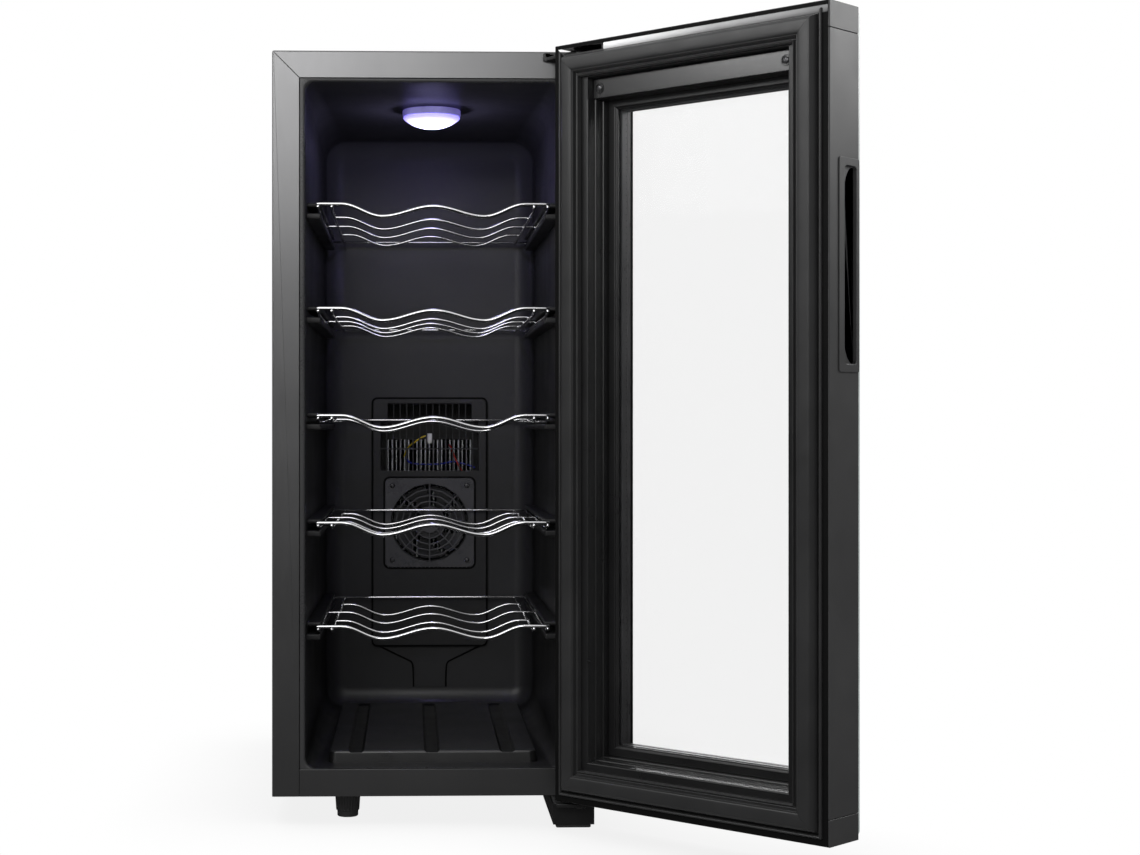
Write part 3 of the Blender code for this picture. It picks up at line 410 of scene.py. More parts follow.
# ---------------------------------------------------------------- mesh helpers
def finish_mesh(name, bm, mats, body, stands_for=(), smooth=35.0, weighted=True, mm=None):
    """Makes the object from a bmesh in metres (or millimetres through the mapping mm) and rides it on its body."""
    if mm:
        for v in bm.verts:
            v.co = mm(*v.co)
    bmesh.ops.recalc_face_normals(bm, faces=bm.faces[:])
    me = bpy.data.meshes.new(name)
    bm.to_mesh(me)
    bm.free()
    for m in mats if isinstance(mats, (list, tuple)) else [mats]:
        me.materials.append(m)
    me.shade_smooth()
    if smooth:
        me.set_sharp_from_angle(angle=math.radians(smooth))
    ob = bpy.data.objects.new(name, me)
    SCENE.collection.objects.link(ob)
    if weighted:
        w = ob.modifiers.new("even_normals", "WEIGHTED_NORMAL")
        w.keep_sharp = True
        w.weight = 80
    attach(ob, body)
    if stands_for:
        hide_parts(*stands_for)
    return ob


def body_of(node):
    return NODES[node]["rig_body"]


def refine(node, mat, width=0.4, seg=2, name=None, angle=28.0, assign=None, limit=None):
    """The CAD node's own shape with its hard edges rounded by width millimetres."""
    bm = bmesh.new()
    bm.from_mesh(NODES[node].data)
    bmesh.ops.remove_doubles(bm, verts=bm.verts[:], dist=3e-6)
    bmesh.ops.dissolve_limit(bm, angle_limit=math.radians(0.8), use_dissolve_boundaries=False,
                             verts=bm.verts[:], edges=bm.edges[:])
    edges = [e for e in bm.edges if len(e.link_faces) == 2 and e.calc_face_angle(0.0) > math.radians(angle)
             and (limit is None or limit(e))]
    if edges and width:
        bmesh.ops.bevel(bm, geom=edges, offset=width * 0.001, offset_type="OFFSET", segments=seg, profile=0.5,
                        affect="EDGES", clamp_overlap=False)
    if assign:
        for f in bm.faces:
            f.material_index = assign(f)
    return finish_mesh(name or node + "_shape", bm, mat, body_of(node), [node])


def catmull(pts, steps, closed=False):
    """A smooth line through points of any size."""
    pts = [Vector(p) for p in pts]
    n = len(pts)
    out = []
    for i in range(n if closed else n - 1):
        p1, p2 = pts[i], pts[(i + 1) % n]
        p0 = pts[i - 1] if (closed or i) else p1 * 2 - p2
        p3 = pts[(i + 2) % n] if (closed or i + 2 < n) else p2 * 2 - p1
        for k in range(steps):
            t = k / steps
            out.append(0.5 * ((2 * p1) + (p2 - p0) * t + (2 * p0 - 5 * p1 + 4 * p2 - p3) * t * t
                              + (3 * p1 - p0 - 3 * p2 + p3) * t * t * t))
    if not closed:
        out.append(pts[-1])
    return out


def lathe(bm, profile, centre, axis="Z", steps=64, closed=False, fn=None):
    """Turns (radius, height) points about an axis through centre, in millimetres. fn may change the radius by angle."""
    rows = []
    for r, h in profile:
        row = []
        for i in range(steps):
            a = 2 * math.pi * i / steps
            rr = fn(r, h, a) if fn else r
            if axis == "Z":
                p = (centre[0] + rr * math.cos(a), centre[1] + rr * math.sin(a), centre[2] + h)
            else:
                p = (centre[0] + rr * math.cos(a), centre[1] + h, centre[2] + rr * math.sin(a))
            row.append(p)
        if r < 1e-6:
            v = bm.verts.new(row[0])
            rows.append([v] * steps)
        else:
            rows.append([bm.verts.new(p) for p in row])
    pairs = list(zip(rows[:-1], rows[1:])) + ([(rows[-1], rows[0])] if closed else [])
    for a, b in pairs:
        for i in range(steps):
            k = (i + 1) % steps
            vs = []
            for v in (a[i], a[k], b[k], b[i]):
                if v not in vs:
                    vs.append(v)
            if len(vs) > 2:
                bm.faces.new(vs)


def ring_pts(half_x, z0, z1, r, y, k=10):
    pts = []
    for cx, cz, a0 in ((half_x - r, z0 + r, -90), (half_x - r, z1 - r, 0),
                       (-half_x + r, z1 - r, 90), (-half_x + r, z0 + r, 180)):
        for i in range(k + 1):
            a = math.radians(a0 + 90 * i / k)
            pts.append((cx + r * math.cos(a), y, cz + r * math.sin(a)))
    return pts


def skin(bm, rings, close_ends=False):
    rows = [[bm.verts.new(p) for p in ring] for ring in rings]
    n = len(rows[0])
    for a, b in zip(rows[:-1], rows[1:]):
        for j in range(n):
            k = (j + 1) % n
            bm.faces.new((a[j], a[k], b[k], b[j]))
    if close_ends:
        bm.faces.new(list(reversed(rows[0])))
        bm.faces.new(rows[-1])
    return rows


def rounded_box(bm, lo, hi, r, seg=3, move=None):
    b = bmesh.new()
    bmesh.ops.create_cube(b, size=1.0)
    for v in b.verts:
        v.co = Vector([lo[i] + (v.co[i] + 0.5) * (hi[i] - lo[i]) for i in range(3)])
        if move:
            v.co = Vector(move(v.co))
    if r:
        bmesh.ops.bevel(b, geom=b.edges[:], offset=r, offset_type="OFFSET", segments=seg, profile=0.5,
                        affect="EDGES", clamp_overlap=False)
    me = bpy.data.meshes.new("tmp")
    b.to_mesh(me)
    b.free()
    bm.from_mesh(me)
    bpy.data.meshes.remove(me)


def door_sweep(bm, prof, dtop=0.0, gap=0.0, sides=(0, 1, 2, 3), top_z=None):
    """Runs a closed (e, w) profile round the door's four sides with mitred corners; with a gap, each side is its own length."""
    def corner(e, w, k):
        et = e + dtop
        z1 = DZ1 - et if top_z is None else top_z
        u, z = ((U0 + e, DZ0 + e), (U1 - e, DZ0 + e), (U1 - e, z1), (U0 + e, z1))[k]
        return u, z
    dirs = ((1, 0), (0, 1), (-1, 0), (0, -1))
    for s in sides:
        a, b = [], []
        for e, w in prof:
            ua, za = corner(e, w, s)
            ub, zb = corner(e, w, (s + 1) % 4)
            dx, dz = dirs[s]
            a.append(bm.verts.new(D(ua + dx * gap, w, za + dz * gap)))
            b.append(bm.verts.new(D(ub - dx * gap, w, zb - dz * gap)))
        n = len(prof)
        for i in range(n):
            k = (i + 1) % n
            bm.faces.new((a[i], a[k], b[k], b[i]))
        bm.faces.new(a)
        bm.faces.new(list(reversed(b)))


def wire(bm, pts, radius, sides=12, taper=True):
    """A round wire along points in millimetres, its ends rounded off."""
    pts = [Vector(p) for p in pts]
    radii = [radius] * len(pts)
    if taper:
        d0, d1 = (pts[1] - pts[0]).normalized(), (pts[-1] - pts[-2]).normalized()
        c = radius * 0.35
        pts = [pts[0], pts[0] + d0 * c * 0.35, pts[0] + d0 * c] + pts[1:-1] + \
              [pts[-1] - d1 * c, pts[-1] - d1 * c * 0.35, pts[-1]]
        radii = [radius * 0.6, radius * 0.88, radius] + radii[1:-1] + [radius, radius * 0.88, radius * 0.6]
    tangents = []
    for i in range(len(pts)):
        a, b = pts[max(0, i - 1)], pts[min(len(pts) - 1, i + 1)]
        tangents.append((b - a).normalized())
    up = Vector((0, 0, 1)) if abs(tangents[0].z) < 0.8 else Vector((0, 1, 0))
    side = tangents[0].cross(up).normalized()
    rows = []
    for p, t, r in zip(pts, tangents, radii):
        side = (side - t * side.dot(t)).normalized()
        other = t.cross(side)
        rows.append([bm.verts.new(p + r * (side * math.cos(2 * math.pi * j / sides)
                                           + other * math.sin(2 * math.pi * j / sides))) for j in range(sides)])
    for a, b in zip(rows[:-1], rows[1:]):
        for j in range(sides):
            k = (j + 1) % sides
            bm.faces.new((a[j], a[k], b[k], b[j]))
    bm.faces.new(list(reversed(rows[0])))
    bm.faces.new(rows[-1])


def cut(ob, cutter_bm, mm=None):
    """Cuts the shape away from the object for good."""
    if mm:
        for v in cutter_bm.verts:
            v.co = mm(*v.co)
    bmesh.ops.recalc_face_normals(cutter_bm, faces=cutter_bm.faces[:])
    me = bpy.data.meshes.new("cutter")
    cutter_bm.to_mesh(me)
    cutter_bm.free()
    c = bpy.data.objects.new("cutter", me)
    SCENE.collection.objects.link(c)
    m = ob.modifiers.new("cut", "BOOLEAN")
    m.operation, m.solver, m.object = "DIFFERENCE", "EXACT", c
    while ob.modifiers[0] != m:
        ob.modifiers.move(len(ob.modifiers) - 1, 0)
        break
    bpy.context.view_layer.update()
    others = [x for x in ob.modifiers if x != m]
    for x in others:
        x.show_viewport = False
    dg = bpy.context.evaluated_depsgraph_get()
    new = bpy.data.meshes.new_from_object(ob.evaluated_get(dg))
    ob.modifiers.remove(m)
    for x in others:
        x.show_viewport = True
    old = ob.data
    ob.data = new
    bpy.data.meshes.remove(old)
    bpy.data.objects.remove(c, do_unlink=True)
    ob.data.shade_smooth()
    ob.data.set_sharp_from_angle(angle=math.radians(35))
    return ob


# ---------------------------------------------------------------- cabinet
def shell_slot(f):
    c = f.calc_center_median()
    x, z = c.x * 1000 + CX, c.z * 1000
    return 1 if z > 643.5 - 22.5 and (z - (643.5 - 134)) > abs(x) else 0


refine("outer_shell", [M["steel_black"], M["steel_black_top"]], 0.22, 2, assign=shell_slot,
       angle=50)
refine("base_pan", M["steel_black"], 0.22, 2, angle=50)


def liner_piece():
    bm = bmesh.new()

    def at(y):
        t = (y + 5) / 328.0
        return 106.6 - 2.35 * t, 46.8 + 1.9 * t, 617.8 - 1.9 * t, 9 + 13 * t
    rings = [ring_pts(111.1, 46.4, 620.6, 0.6, 5.6), ring_pts(111.1, 46.4, 620.6, 0.6, 0.75),
             ring_pts(110.7, 46.45, 620.2, 0.9, 0.36),
             ring_pts(108.3, 46.6, 618.8, 7.4, 0.36), ring_pts(107.5, 46.68, 618.3, 8.2, 0.62),
             ring_pts(106.9, 46.74, 618.0, 8.7, 1.3)]
    for y in (2.6, 6, 14, 40, 90, 150, 210, 260, 300, 323):
        h, z0, z1, r = at(y)
        rings.append(ring_pts(h, z0, z1, r, y))
    for i in range(1, 13):
        t = math.radians(7.5 * i)
        out = -20 + 20 * math.cos(t)
        rings.append(ring_pts(104.25 + out, 48.7 - out, 615.9 + out, 2 + 20 * math.cos(t), 323 + 20 * math.sin(t)))
    rings.append(ring_pts(50, 117, 353, 1.5, 343))
    rings.append(ring_pts(49.8, 117.2, 352.8, 1.4, 344.4))
    skin(bm, rings)
    # side ledges and guides that carry each shelf
    for z in (517.5, 430.0, 340.0, 250.0, 163.0):
        for s in (-1, 1):
            for y0, y1, a, b in ((22, 322, z - 11.8, z - 6.8), (30, 322, z - 1.1, z + 2.6)):
                def lean(co, s=s):
                    far = 106.6 - 2.35 * (co.y + 5) / 328 + 0.6
                    return (s * (94.5 if abs(co.x) < 100 else far), co.y, co.z)
                rounded_box(bm, (-110 if s < 0 else 94.5, y0, a), (-94.5 if s < 0 else 110, y1, b), 1.3, 3, lean)
    # the back wall takes the lighter liner copy, painted light
    for f in bm.faces:
        f.material_index = 1 if max(v.co.y for v in f.verts) < 2.7 else 2 if f.calc_center_median().y > 331 else 0
    return finish_mesh("inner_liner_shape", bm, [M["liner"], M["liner_lip"], M["liner_back"]], "cabinet",
                       ["inner_liner"],
                       smooth=40, mm=C)


liner_piece()


def duct_liner_piece():
    """The dark moulded duct round the fan and the fins, open at its front behind the cover."""
    bm = bmesh.new()

    def ring(h, z0, z1, y):
        return [(h, y, z0), (h, y, z1), (-h, y, z1), (-h, y, z0)]
    skin(bm, [ring(51.3, 114.7, 355.3, 391.2), ring(51.3, 114.7, 355.3, 343.4), ring(50.7, 115.3, 354.7, 343.4),
              ring(50.7, 115.3, 354.7, 390.8)], True)
    return finish_mesh("duct_liner", bm, M["liner"], "cabinet", (), smooth=30, mm=C)


duct_liner_piece()


def floor_piece():
    bm = bmesh.new()
    rows = []

    def rect(h, y0, y1, r, z):
        pts = []
        for cx, cy, a0 in ((h - r, y0 + r, -90), (h - r, y1 - r, 0), (-h + r, y1 - r, 90), (-h + r, y0 + r, 180)):
            for i in range(9):
                a = math.radians(a0 + 90 * i / 8)
                pts.append((cx + r * math.cos(a), cy + r * math.sin(a), z))
        return pts
    for h, y0, y1, r, z in ((88.6, 26.4, 318.6, 7, 46.9), (87.6, 27.4, 317.6, 6.4, 54.8), (87.2, 27.8, 317.2, 6, 56.0),
                            (86.5, 28.5, 316.5, 5.4, 56.75), (85.6, 29.4, 315.6, 4.6, 57.0)):
        rows.append(rect(h, y0, y1, r, z))
    skin(bm, rows, True)
    # the floor's top takes the lighter liner copy, painted light
    for f in bm.faces:
        f.material_index = 1 if min(v.co.z for v in f.verts) > 55.9 else 0
    ob = finish_mesh("raised_floor", bm, [M["frame_plastic"], M["liner_back"]], "cabinet", (),
                     smooth=40, mm=C)
    for x in (-65, -1, 63):
        cb = bmesh.new()
        skin(cb, [rect_at(x, 4.5, 20, 306.5, 3.6, 55.3), rect_at(x, 4.8, 20, 306.9, 4.0, 55.42),
                  rect_at(x, 6.3, 20, 308.6, 5.4, 56.6), rect_at(x, 7.0, 20, 309.4, 6.2, 57.3)], True)
        cut(ob, cb, C)
    return ob


def rect_at(x, h, y0, y1, r, z):
    pts = []
    for cx, cy, a0 in ((h - r, y0 + r, -90), (h - r, y1 - r, 0), (-h + r, y1 - r, 90), (-h + r, y0 + r, 180)):
        for i in range(7):
            a = math.radians(a0 + 90 * i / 6)
            pts.append((x + cx + r * math.cos(a), cy + r * math.sin(a), z))
    return pts


floor_piece()

# duct cover, guard, drain channel, fan screws
refine("duct_cover", M["duct"], 0.28, 2, angle=40)
refine("inner_fan_guard", M["guard"], 0.3, 2, angle=40)


def drain_piece():
    """The funnel and channel under the cover: two raised side ribs and a shallow trough."""
    bm = bmesh.new()
    for s in (-1, 1):
        line = [(s * 51.5, 342.1, 110.6), (s * 48.5, 342.1, 109.0), (s * 35, 342.1, 102.4), (s * 21, 342.1, 95.6),
                (s * 18.2, 342.1, 93.6), (s * 17.0, 342.1, 90.6), (s * 16.6, 342.1, 86.0), (s * 16.3, 342.1, 78.0),
                (s * 16.2, 342.1, 69.0)]
        wire(bm, catmull(line, 5), 0.8, 10)
    rounded_box(bm, (-15.0, 342.3, 68.8), (15.0, 342.9, 94), 0.25, 2)
    # the trough takes the lighter liner copy, painted light
    for f in bm.faces:
        f.material_index = 1 if all(abs(v.co.x) < 15.1 for v in f.verts) else 0
    return finish_mesh("drain_channel_shape", bm, [M["deep_black"], M["liner_back"]], "cabinet", ["drain_channel"],
                       smooth=50, mm=C)


drain_piece()


def outline_pieces():
    """Black rings round the duct cover and round the fan guard: painted shade in the joints."""
    def ring(half, z0, z1, r, y):
        return ring_pts(half, z0, z1, r, y, 6)
    bm = bmesh.new()
    skin(bm, [ring(56.6, 111.3, 358.1, 4.1, 342.9), ring(56.6, 111.3, 358.1, 4.1, 339.3),
              ring(58.3, 109.6, 359.8, 5.8, 339.3), ring(58.3, 109.6, 359.8, 5.8, 342.9)])
    finish_mesh("cover_joint", bm, M["deep_black"], "cabinet", (), smooth=40, mm=C)
    bm = bmesh.new()
    skin(bm, [ring(44.75, 234 - 44.75, 234 + 44.75, 5.1, 338.4), ring(44.75, 234 - 44.75, 234 + 44.75, 5.1, 338.1),
              ring(46.5, 234 - 46.5, 234 + 46.5, 6.8, 338.1), ring(46.5, 234 - 46.5, 234 + 46.5, 6.8, 338.4)])
    finish_mesh("guard_joint", bm, M["deep_black"], "cabinet", (), smooth=40, mm=C)


outline_pieces()


def cross_screw(name, centre, axis_fn, body, node, mat, r=2.6, h=1.5):
    """A pan-head screw with a cross recess. axis_fn turns (x, y, z) round the screw's axis into the shared frame."""
    bm = bmesh.new()
    prof = [(0.0, h)]
    for i in range(1, 9):
        a = math.radians(90 * i / 8)
        prof.append((r * math.sin(a), h * (0.25 + 0.75 * math.cos(a))))
    prof += [(r, 0.0), (0.0, 0.0)]
    lathe(bm, prof, (0, 0, 0), steps=32)
    ob = finish_mesh(name, bm, mat, body, [node], smooth=40, mm=axis_fn)
    for a, b in (((-0.32 * r - 0.9, -0.32, h - 0.75), (0.32 * r + 0.9, 0.32, h + 1)),
                 ((-0.32, -0.32 * r - 0.9, h - 0.75), (0.32, 0.32 * r + 0.9, h + 1))):
        cb = bmesh.new()
        rounded_box(cb, a, b, 0)
        cut(ob, cb, axis_fn)
    return ob


for i, (sx, sz) in enumerate(((-1, 1), (1, 1), (-1, -1), (1, -1))):
    def onto(x, y, z, sx=sx, sz=sz):
        return C(sx * 37.4 + x, 338.1 - z, 234 + sz * 37.4 + y)
    cross_screw(f"fan_screw_{i + 1}_shape", None, onto, "cabinet", f"fan_screw_{i + 1}", M["screw_black"])


# ---------------------------------------------------------------- fans
def rotor_piece(node, y0, y1, z, tip, hub_r, blades, body):
    """Hub cup with a rounded front edge and swept, twisted blades."""
    bm = bmesh.new()
    prof = [(0, y0 + 0.4), (hub_r * 0.55, y0 + 0.4), (hub_r * 0.6, y0 + 0.15), (hub_r - 2.2, y0), (hub_r - 1.0, y0 + 0.3),
            (hub_r - 0.3, y0 + 1.0), (hub_r, y0 + 2.2), (hub_r, y1), (hub_r - 1.5, y1), (0, y1)]
    lathe(bm, [(r, h) for r, h in prof], (0, 0, z), axis="Y", steps=48)
    mid = (y0 + y1) / 2
    depth = (y1 - y0) * 0.92
    nr, nc = 10, 8
    for b in range(blades):
        base = 2 * math.pi * b / blades
        sheets = []
        for off in (0.55, -0.55):
            grid = []
            for i in range(nr + 1):
                t = i / nr
                rad = hub_r - 0.8 + (tip - hub_r + 0.8) * t
                row = []
                sweep = 0.34 * t * t
                width = math.radians(33 + 9 * t)
                for j in range(nc + 1):
                    q = j / nc - 0.5
                    camber = 1.5 * (1 - 4 * q * q)
                    ang = base + sweep + q * width
                    yy = mid + q * depth * (0.94 - 0.2 * t) + camber * 0.6 + off * (1.0 - 0.4 * abs(q) * 2)
                    row.append(bm.verts.new((rad * math.cos(ang), yy, z + rad * math.sin(ang))))
                grid.append(row)
            sheets.append(grid)
        top, bot = sheets
        for i in range(nr):
            for j in range(nc):
                bm.faces.new((top[i][j], top[i + 1][j], top[i + 1][j + 1], top[i][j + 1]))
                bm.faces.new((bot[i][j], bot[i][j + 1], bot[i + 1][j + 1], bot[i + 1][j]))
        for i in range(nr):
            bm.faces.new((top[i][0], bot[i][0], bot[i + 1][0], top[i + 1][0]))
            bm.faces.new((top[i][nc], top[i + 1][nc], bot[i + 1][nc], bot[i][nc]))
        for j in range(nc):
            bm.faces.new((top[0][j], top[0][j + 1], bot[0][j + 1], bot[0][j]))
            bm.faces.new((top[nr][j], bot[nr][j], bot[nr][j + 1], top[nr][j + 1]))
    return finish_mesh(node + "_shape", bm, M["guard"], body, [node], smooth=50, mm=C)


rotor_piece("inner_fan_rotor", 345.3, 359.0, 234.0, 36.4, 16, 7, "inner_fan")
rotor_piece("hot_fan_rotor", 433.1, 450.8, 250.0, 42.4, 16, 7, "hot_fan")
refine("inner_fan_frame", M["frame_plastic"], 0.35, 2, angle=40)
refine("hot_fan_frame", M["frame_plastic"], 0.35, 2, angle=40)
refine("cold_sink", M["aluminium"], 0.12, 1, angle=40)
refine("hot_sink", M["aluminium"], 0.12, 1, angle=40)
refine("cold_block", M["aluminium"], 0.3, 2)
refine("peltier_module", M["ceramic"], 0.3, 2)
refine("sensor_plug", M["white"], 0.25, 2)


def lead(node, pts, mat):
    bm = bmesh.new()
    wire(bm, catmull(pts, 8), 0.8, 10)
    return finish_mesh(node + "_shape", bm, mat, "cabinet", [node], smooth=60, mm=C)


lead("sensor_lead", [(-26, 364, 300), (-22, 354, 309), (-16, 351, 314), (-9, 350, 319), (-3, 350, 321.5)],
     M["yellow"])
lead("fan_lead_red", [(20, 364, 312), (22, 356, 309), (25, 352, 301), (29, 350, 292), (33, 351, 285), (34, 355, 279)],
     M["red"])
lead("fan_lead_blue", [(-24, 356, 298), (-18, 351, 293.5), (-4, 350, 292.5), (12, 350, 293), (24, 353.6, 295),
                       (36, 351, 292.5), (46, 351, 289)], M["blue"])

# ---------------------------------------------------------------- lamp
CEIL = 616.9


def lamp_pieces():
    bm = bmesh.new()
    lathe(bm, [(0, 0), (25.2, 0), (26.0, -0.4), (26.2, -1.2), (26.2, -4.9), (25.9, -5.8), (25.0, -6.3), (23.8, -6.4),
               (23.4, -6.1), (23.4, -2), (0, -2)], (0, 143, CEIL - 0.2), steps=96)
    finish_mesh("lamp_base_shape", bm, M["lamp_rim"], "cabinet", ["lamp_base"], smooth=40, mm=C)
    bm = bmesh.new()
    lathe(bm, [(0, 0), (19.6, 0), (20, -0.3), (20, -1.4), (3, -1.4), (2.8, -2.4), (2.0, -3.0), (0, -3.1)],
          (0, 143, CEIL - 2.6), steps=48)
    finish_mesh("lamp_board_shape", bm, M["white"], "cabinet", ["lamp_board"], smooth=40, mm=C)
    bm = bmesh.new()
    outer = catmull([(25.6, -7.3), (24.9, -8.6), (22.5, -10.5), (17, -13.6), (10, -15.8), (4, -16.7), (0, -16.9)], 5)
    prof = [(0, -5.8), (22.8, -5.8), (22.8, -6.9), (25.2, -7.0)] + [(p.x, p.y) for p in outer[:-1]] + [(0, -16.9)]

    def ribs(r, h, a):
        return r - 0.16 * (0.5 + 0.5 * math.cos(36 * a)) if 3 < r < 24.5 and h < -8 else r
    lathe(bm, prof, (0, 143, CEIL), steps=180, fn=ribs)
    finish_mesh("lamp_lens_shape", bm, M["lens"], "cabinet", ["lamp_lens"], smooth=50, mm=C)


lamp_pieces()

# ---------------------------------------------------------------- shelves
FRONT_R, WIRE_R = 1.75, 1.25
SHELF_Y = (15.0, 94.0, 173.0, 252.0, 331.0)


def wave(x):
    a = abs(x)
    if a >= 77:
        return 0.0
    if a >= 43:
        return -10.2 * (1 - math.cos(math.pi * (77 - a) / 34)) / 2
    return -1.7 - 8.5 * (1 - math.cos(math.pi * a / 43)) / 2


def shelf_piece(name, z):
    bm = bmesh.new()

    def row(half, y, z0):
        n = int(half * 2 / 3.0)
        return [(-half + 2 * half * i / n, y, z0 + wave(-half + 2 * half * i / n)) for i in range(n + 1)]
    wire(bm, row(98, SHELF_Y[0], z), FRONT_R, 16)
    for y, half in ((SHELF_Y[1], 86), (SHELF_Y[2], 97.5), (SHELF_Y[3], 86)):
        wire(bm, row(half, y, z - 3), WIRE_R, 12)
    wire(bm, [(-97.5, SHELF_Y[4], z - 3), (-50, SHELF_Y[4], z - 3), (0, SHELF_Y[4], z - 3), (50, SHELF_Y[4], z - 3),
              (97.5, SHELF_Y[4], z - 3)], WIRE_R, 12)
    for x in (-96.5, -85, 85, 96.5):
        pts = [(x, 332.6, z - 5), (x, 250, z - 5), (x, 150, z - 5), (x, 60, z - 5), (x, 34, z - 5)]
        pts += [(x, p.y, p.z) for p in catmull([(x, 30, z - 5), (x, 26, z - 4.4), (x, 22, z - 3.3), (x, 18, z - 2.5),
                                                (x, 12.7, z - 2.4)], 4)]
        wire(bm, pts, WIRE_R, 12)
    # weld beads where the cross wires lie on the rails
    for y, half in zip(SHELF_Y, (98, 86, 97.5, 86, 97.5)):
        for x in (-96.5, -85, 85, 96.5):
            if abs(x) <= half + 0.1:
                b = bmesh.new()
                bmesh.ops.create_uvsphere(b, u_segments=10, v_segments=6, radius=1.0)
                zz = z - (2.0 if y == SHELF_Y[0] else 4.0)
                for v in b.verts:
                    v.co = Vector((x + v.co.x * 1.75, y + v.co.y * 1.75, zz + v.co.z * 0.85))
                me = bpy.data.meshes.new("tmp")
                b.to_mesh(me)
                b.free()
                bm.from_mesh(me)
                bpy.data.meshes.remove(me)
    return finish_mesh(name + "_shape", bm, M["chrome"], name, [name], smooth=50, weighted=False, mm=C)


for i, z in enumerate((517.5, 430.0, 340.0, 250.0, 163.0)):
    shelf_piece(f"shelf_{i + 1}", z)

# ---------------------------------------------------------------- door
SEAL = [(28.5, -0.3), (28.5, -3.9), (28.4, -4.6), (28.0, -5.0), (27.6, -4.7), (27.35, -3.6), (27.0, -2.8), (26.3, -2.4),
        (25.4, -2.6), (24.8, -3.6), (24.5, -5.2), (24.2, -6.1), (23.8, -6.3), (23.4, -6.1), (23.0, -6.7), (22.2, -7.1),
        (20.0, -7.28), (17.2, -7.3), (14.2, -7.2), (13.4, -7.0), (12.7, -6.5), (11.9, -5.5), (11.2, -4.3), (10.6, -2.9),
        (10.2, -1.7), (9.9, -0.3)]


def seal_piece():
    bm = bmesh.new()
    line = [(p.x, p.y) for p in catmull([(e, w, 0) for e, w in SEAL], 3)]
    line = [(min(28.5, max(9.9, e)), min(-0.3, max(-7.3, w))) for e, w in line]
    door_sweep(bm, line, gap=0.09)
    return finish_mesh("door_gasket_shape", bm, M["rubber"], "door", ["door_gasket"], smooth=42)


seal_piece()


def free_face(f):
    """Faces on the door's free edge take a satin finish whose lighter colour is painted light falling on that side."""
    c, n = f.calc_center_median(), f.normal
    x, y = c.x * 1000 + CX - PIN[0], c.y * 1000 + CY - PIN[1]
    return 1 if COS * x + SIN * y < U0 + 1.6 and -(COS * n.x + SIN * n.y) > 0.5 else 0


# the free-edge faces take the lighter satin copy, painted light on that side
refine("door_frame", [M["frame_plastic"], M["edge_finish"]], 0.4, 2, angle=40, assign=free_face)
refine("door_top_cap", [M["cap_plastic"], M["edge_finish"]], 0.35, 2, angle=40, assign=free_face)
refine("door_bottom_cap", [M["cap_plastic"], M["edge_finish"]], 0.35, 2, angle=40, assign=free_face)


def top_strip():
    """The polished strip along the top cap's inner face, above the seal; its bright-to-dark colour is a painted
    reflection.
    """
    bm = bmesh.new()
    line = [(U0 + 0.9, DZ1 - 3.9), (U0 + 1.4, DZ1 - 3.8), (-120.0, DZ1 - 3.8), (-40.0, DZ1 - 3.8)]
    inner = [(U0 + 0.9, DZ1 - 9.2), (U0 + 1.4, DZ1 - 9.4), (-120.0, DZ1 - 9.4), (-40.0, DZ1 - 9.4)]
    rows = []
    for (u, z), (u2, z2) in zip(line, inner):
        mu, mz = (u + u2) / 2, (z + z2) / 2
        pts = []
        for q, w in ((0.0, 0.05), (0.02, -0.12), (0.12, -0.24), (0.5, -0.28), (0.88, -0.24), (0.98, -0.12), (1.0, 0.05)):
            pts.append(D(u + (u2 - u) * q, w, z + (z2 - z) * q))
        rows.append(pts)
    skin(bm, rows, True)
    return finish_mesh("top_cap_strip", bm, M["polished_strip"], "door", (), smooth=40)


top_strip()


def reveal_piece():
    """The stepped lining of the window opening, on its two sides and its foot."""
    bm = bmesh.new()
    prof = [(33.6, -0.15), (34.5, -0.2), (35.2, 0.1), (35.6, 0.8), (36.2, 7.0), (36.4, 7.6), (37.1, 7.9), (37.6, 8.4),
            (37.95, 14.8), (38.15, 15.4), (38.9, 15.8), (39.05, 16.4), (39.1, 20.9), (38.3, 20.9), (36.3, 12.0),
            (34.0, 0.2)]
    door_sweep(bm, prof, gap=0.0, sides=(0, 1, 3), top_z=DZ1 - 47.2)
    return finish_mesh("window_lining", bm, M["frame_plastic"], "door", (), smooth=42)


reveal_piece()


def edge_bead():
    """The raised bead between the seal and the door's outer edge."""
    bm = bmesh.new()
    prof = [(5.8, 0.05), (5.75, -1.2), (5.95, -1.9), (6.4, -2.25), (7.1, -2.25), (7.7, -1.8), (7.95, -1.1), (7.95, 0.05)]
    door_sweep(bm, prof, sides=(0, 1, 3))
    return finish_mesh("door_face_bead", bm, M["rubber"], "door", (), smooth=60)


def margin_piece():
    """A matt black band round the seal, between it and the door's outer edge: painted shade in that recess."""
    bm = bmesh.new()
    door_sweep(bm, [(0.75, 0.1), (0.75, -0.04), (0.9, -0.08), (9.4, -0.08), (9.6, -0.04), (9.6, 0.1)],
               sides=(0, 1, 3))
    door_sweep(bm, [(0.9, 0.1), (0.9, -0.04), (1.0, -0.08), (3.6, -0.08), (3.7, -0.04), (3.7, 0.1)], sides=(2,))
    return finish_mesh("door_margin_shade", bm, M["deep_black"], "door", (), smooth=40)


margin_piece()


edge_bead()


def trim_piece():
    bm = bmesh.new()
    prof = [(39.05, 24.3), (39.05, 21.5), (39.5, 21.2), (45.6, 21.2), (46.1, 21.5), (46.2, 22.4), (46.8, 22.7),
            (47.6, 22.8), (48.0, 23.2), (48.0, 24.3)]
    door_sweep(bm, prof, dtop=6.6, gap=0.05)
    return finish_mesh("glass_trim_shape", bm, M["frame_plastic"], "door", ["glass_trim"], smooth=30)


trim_piece()


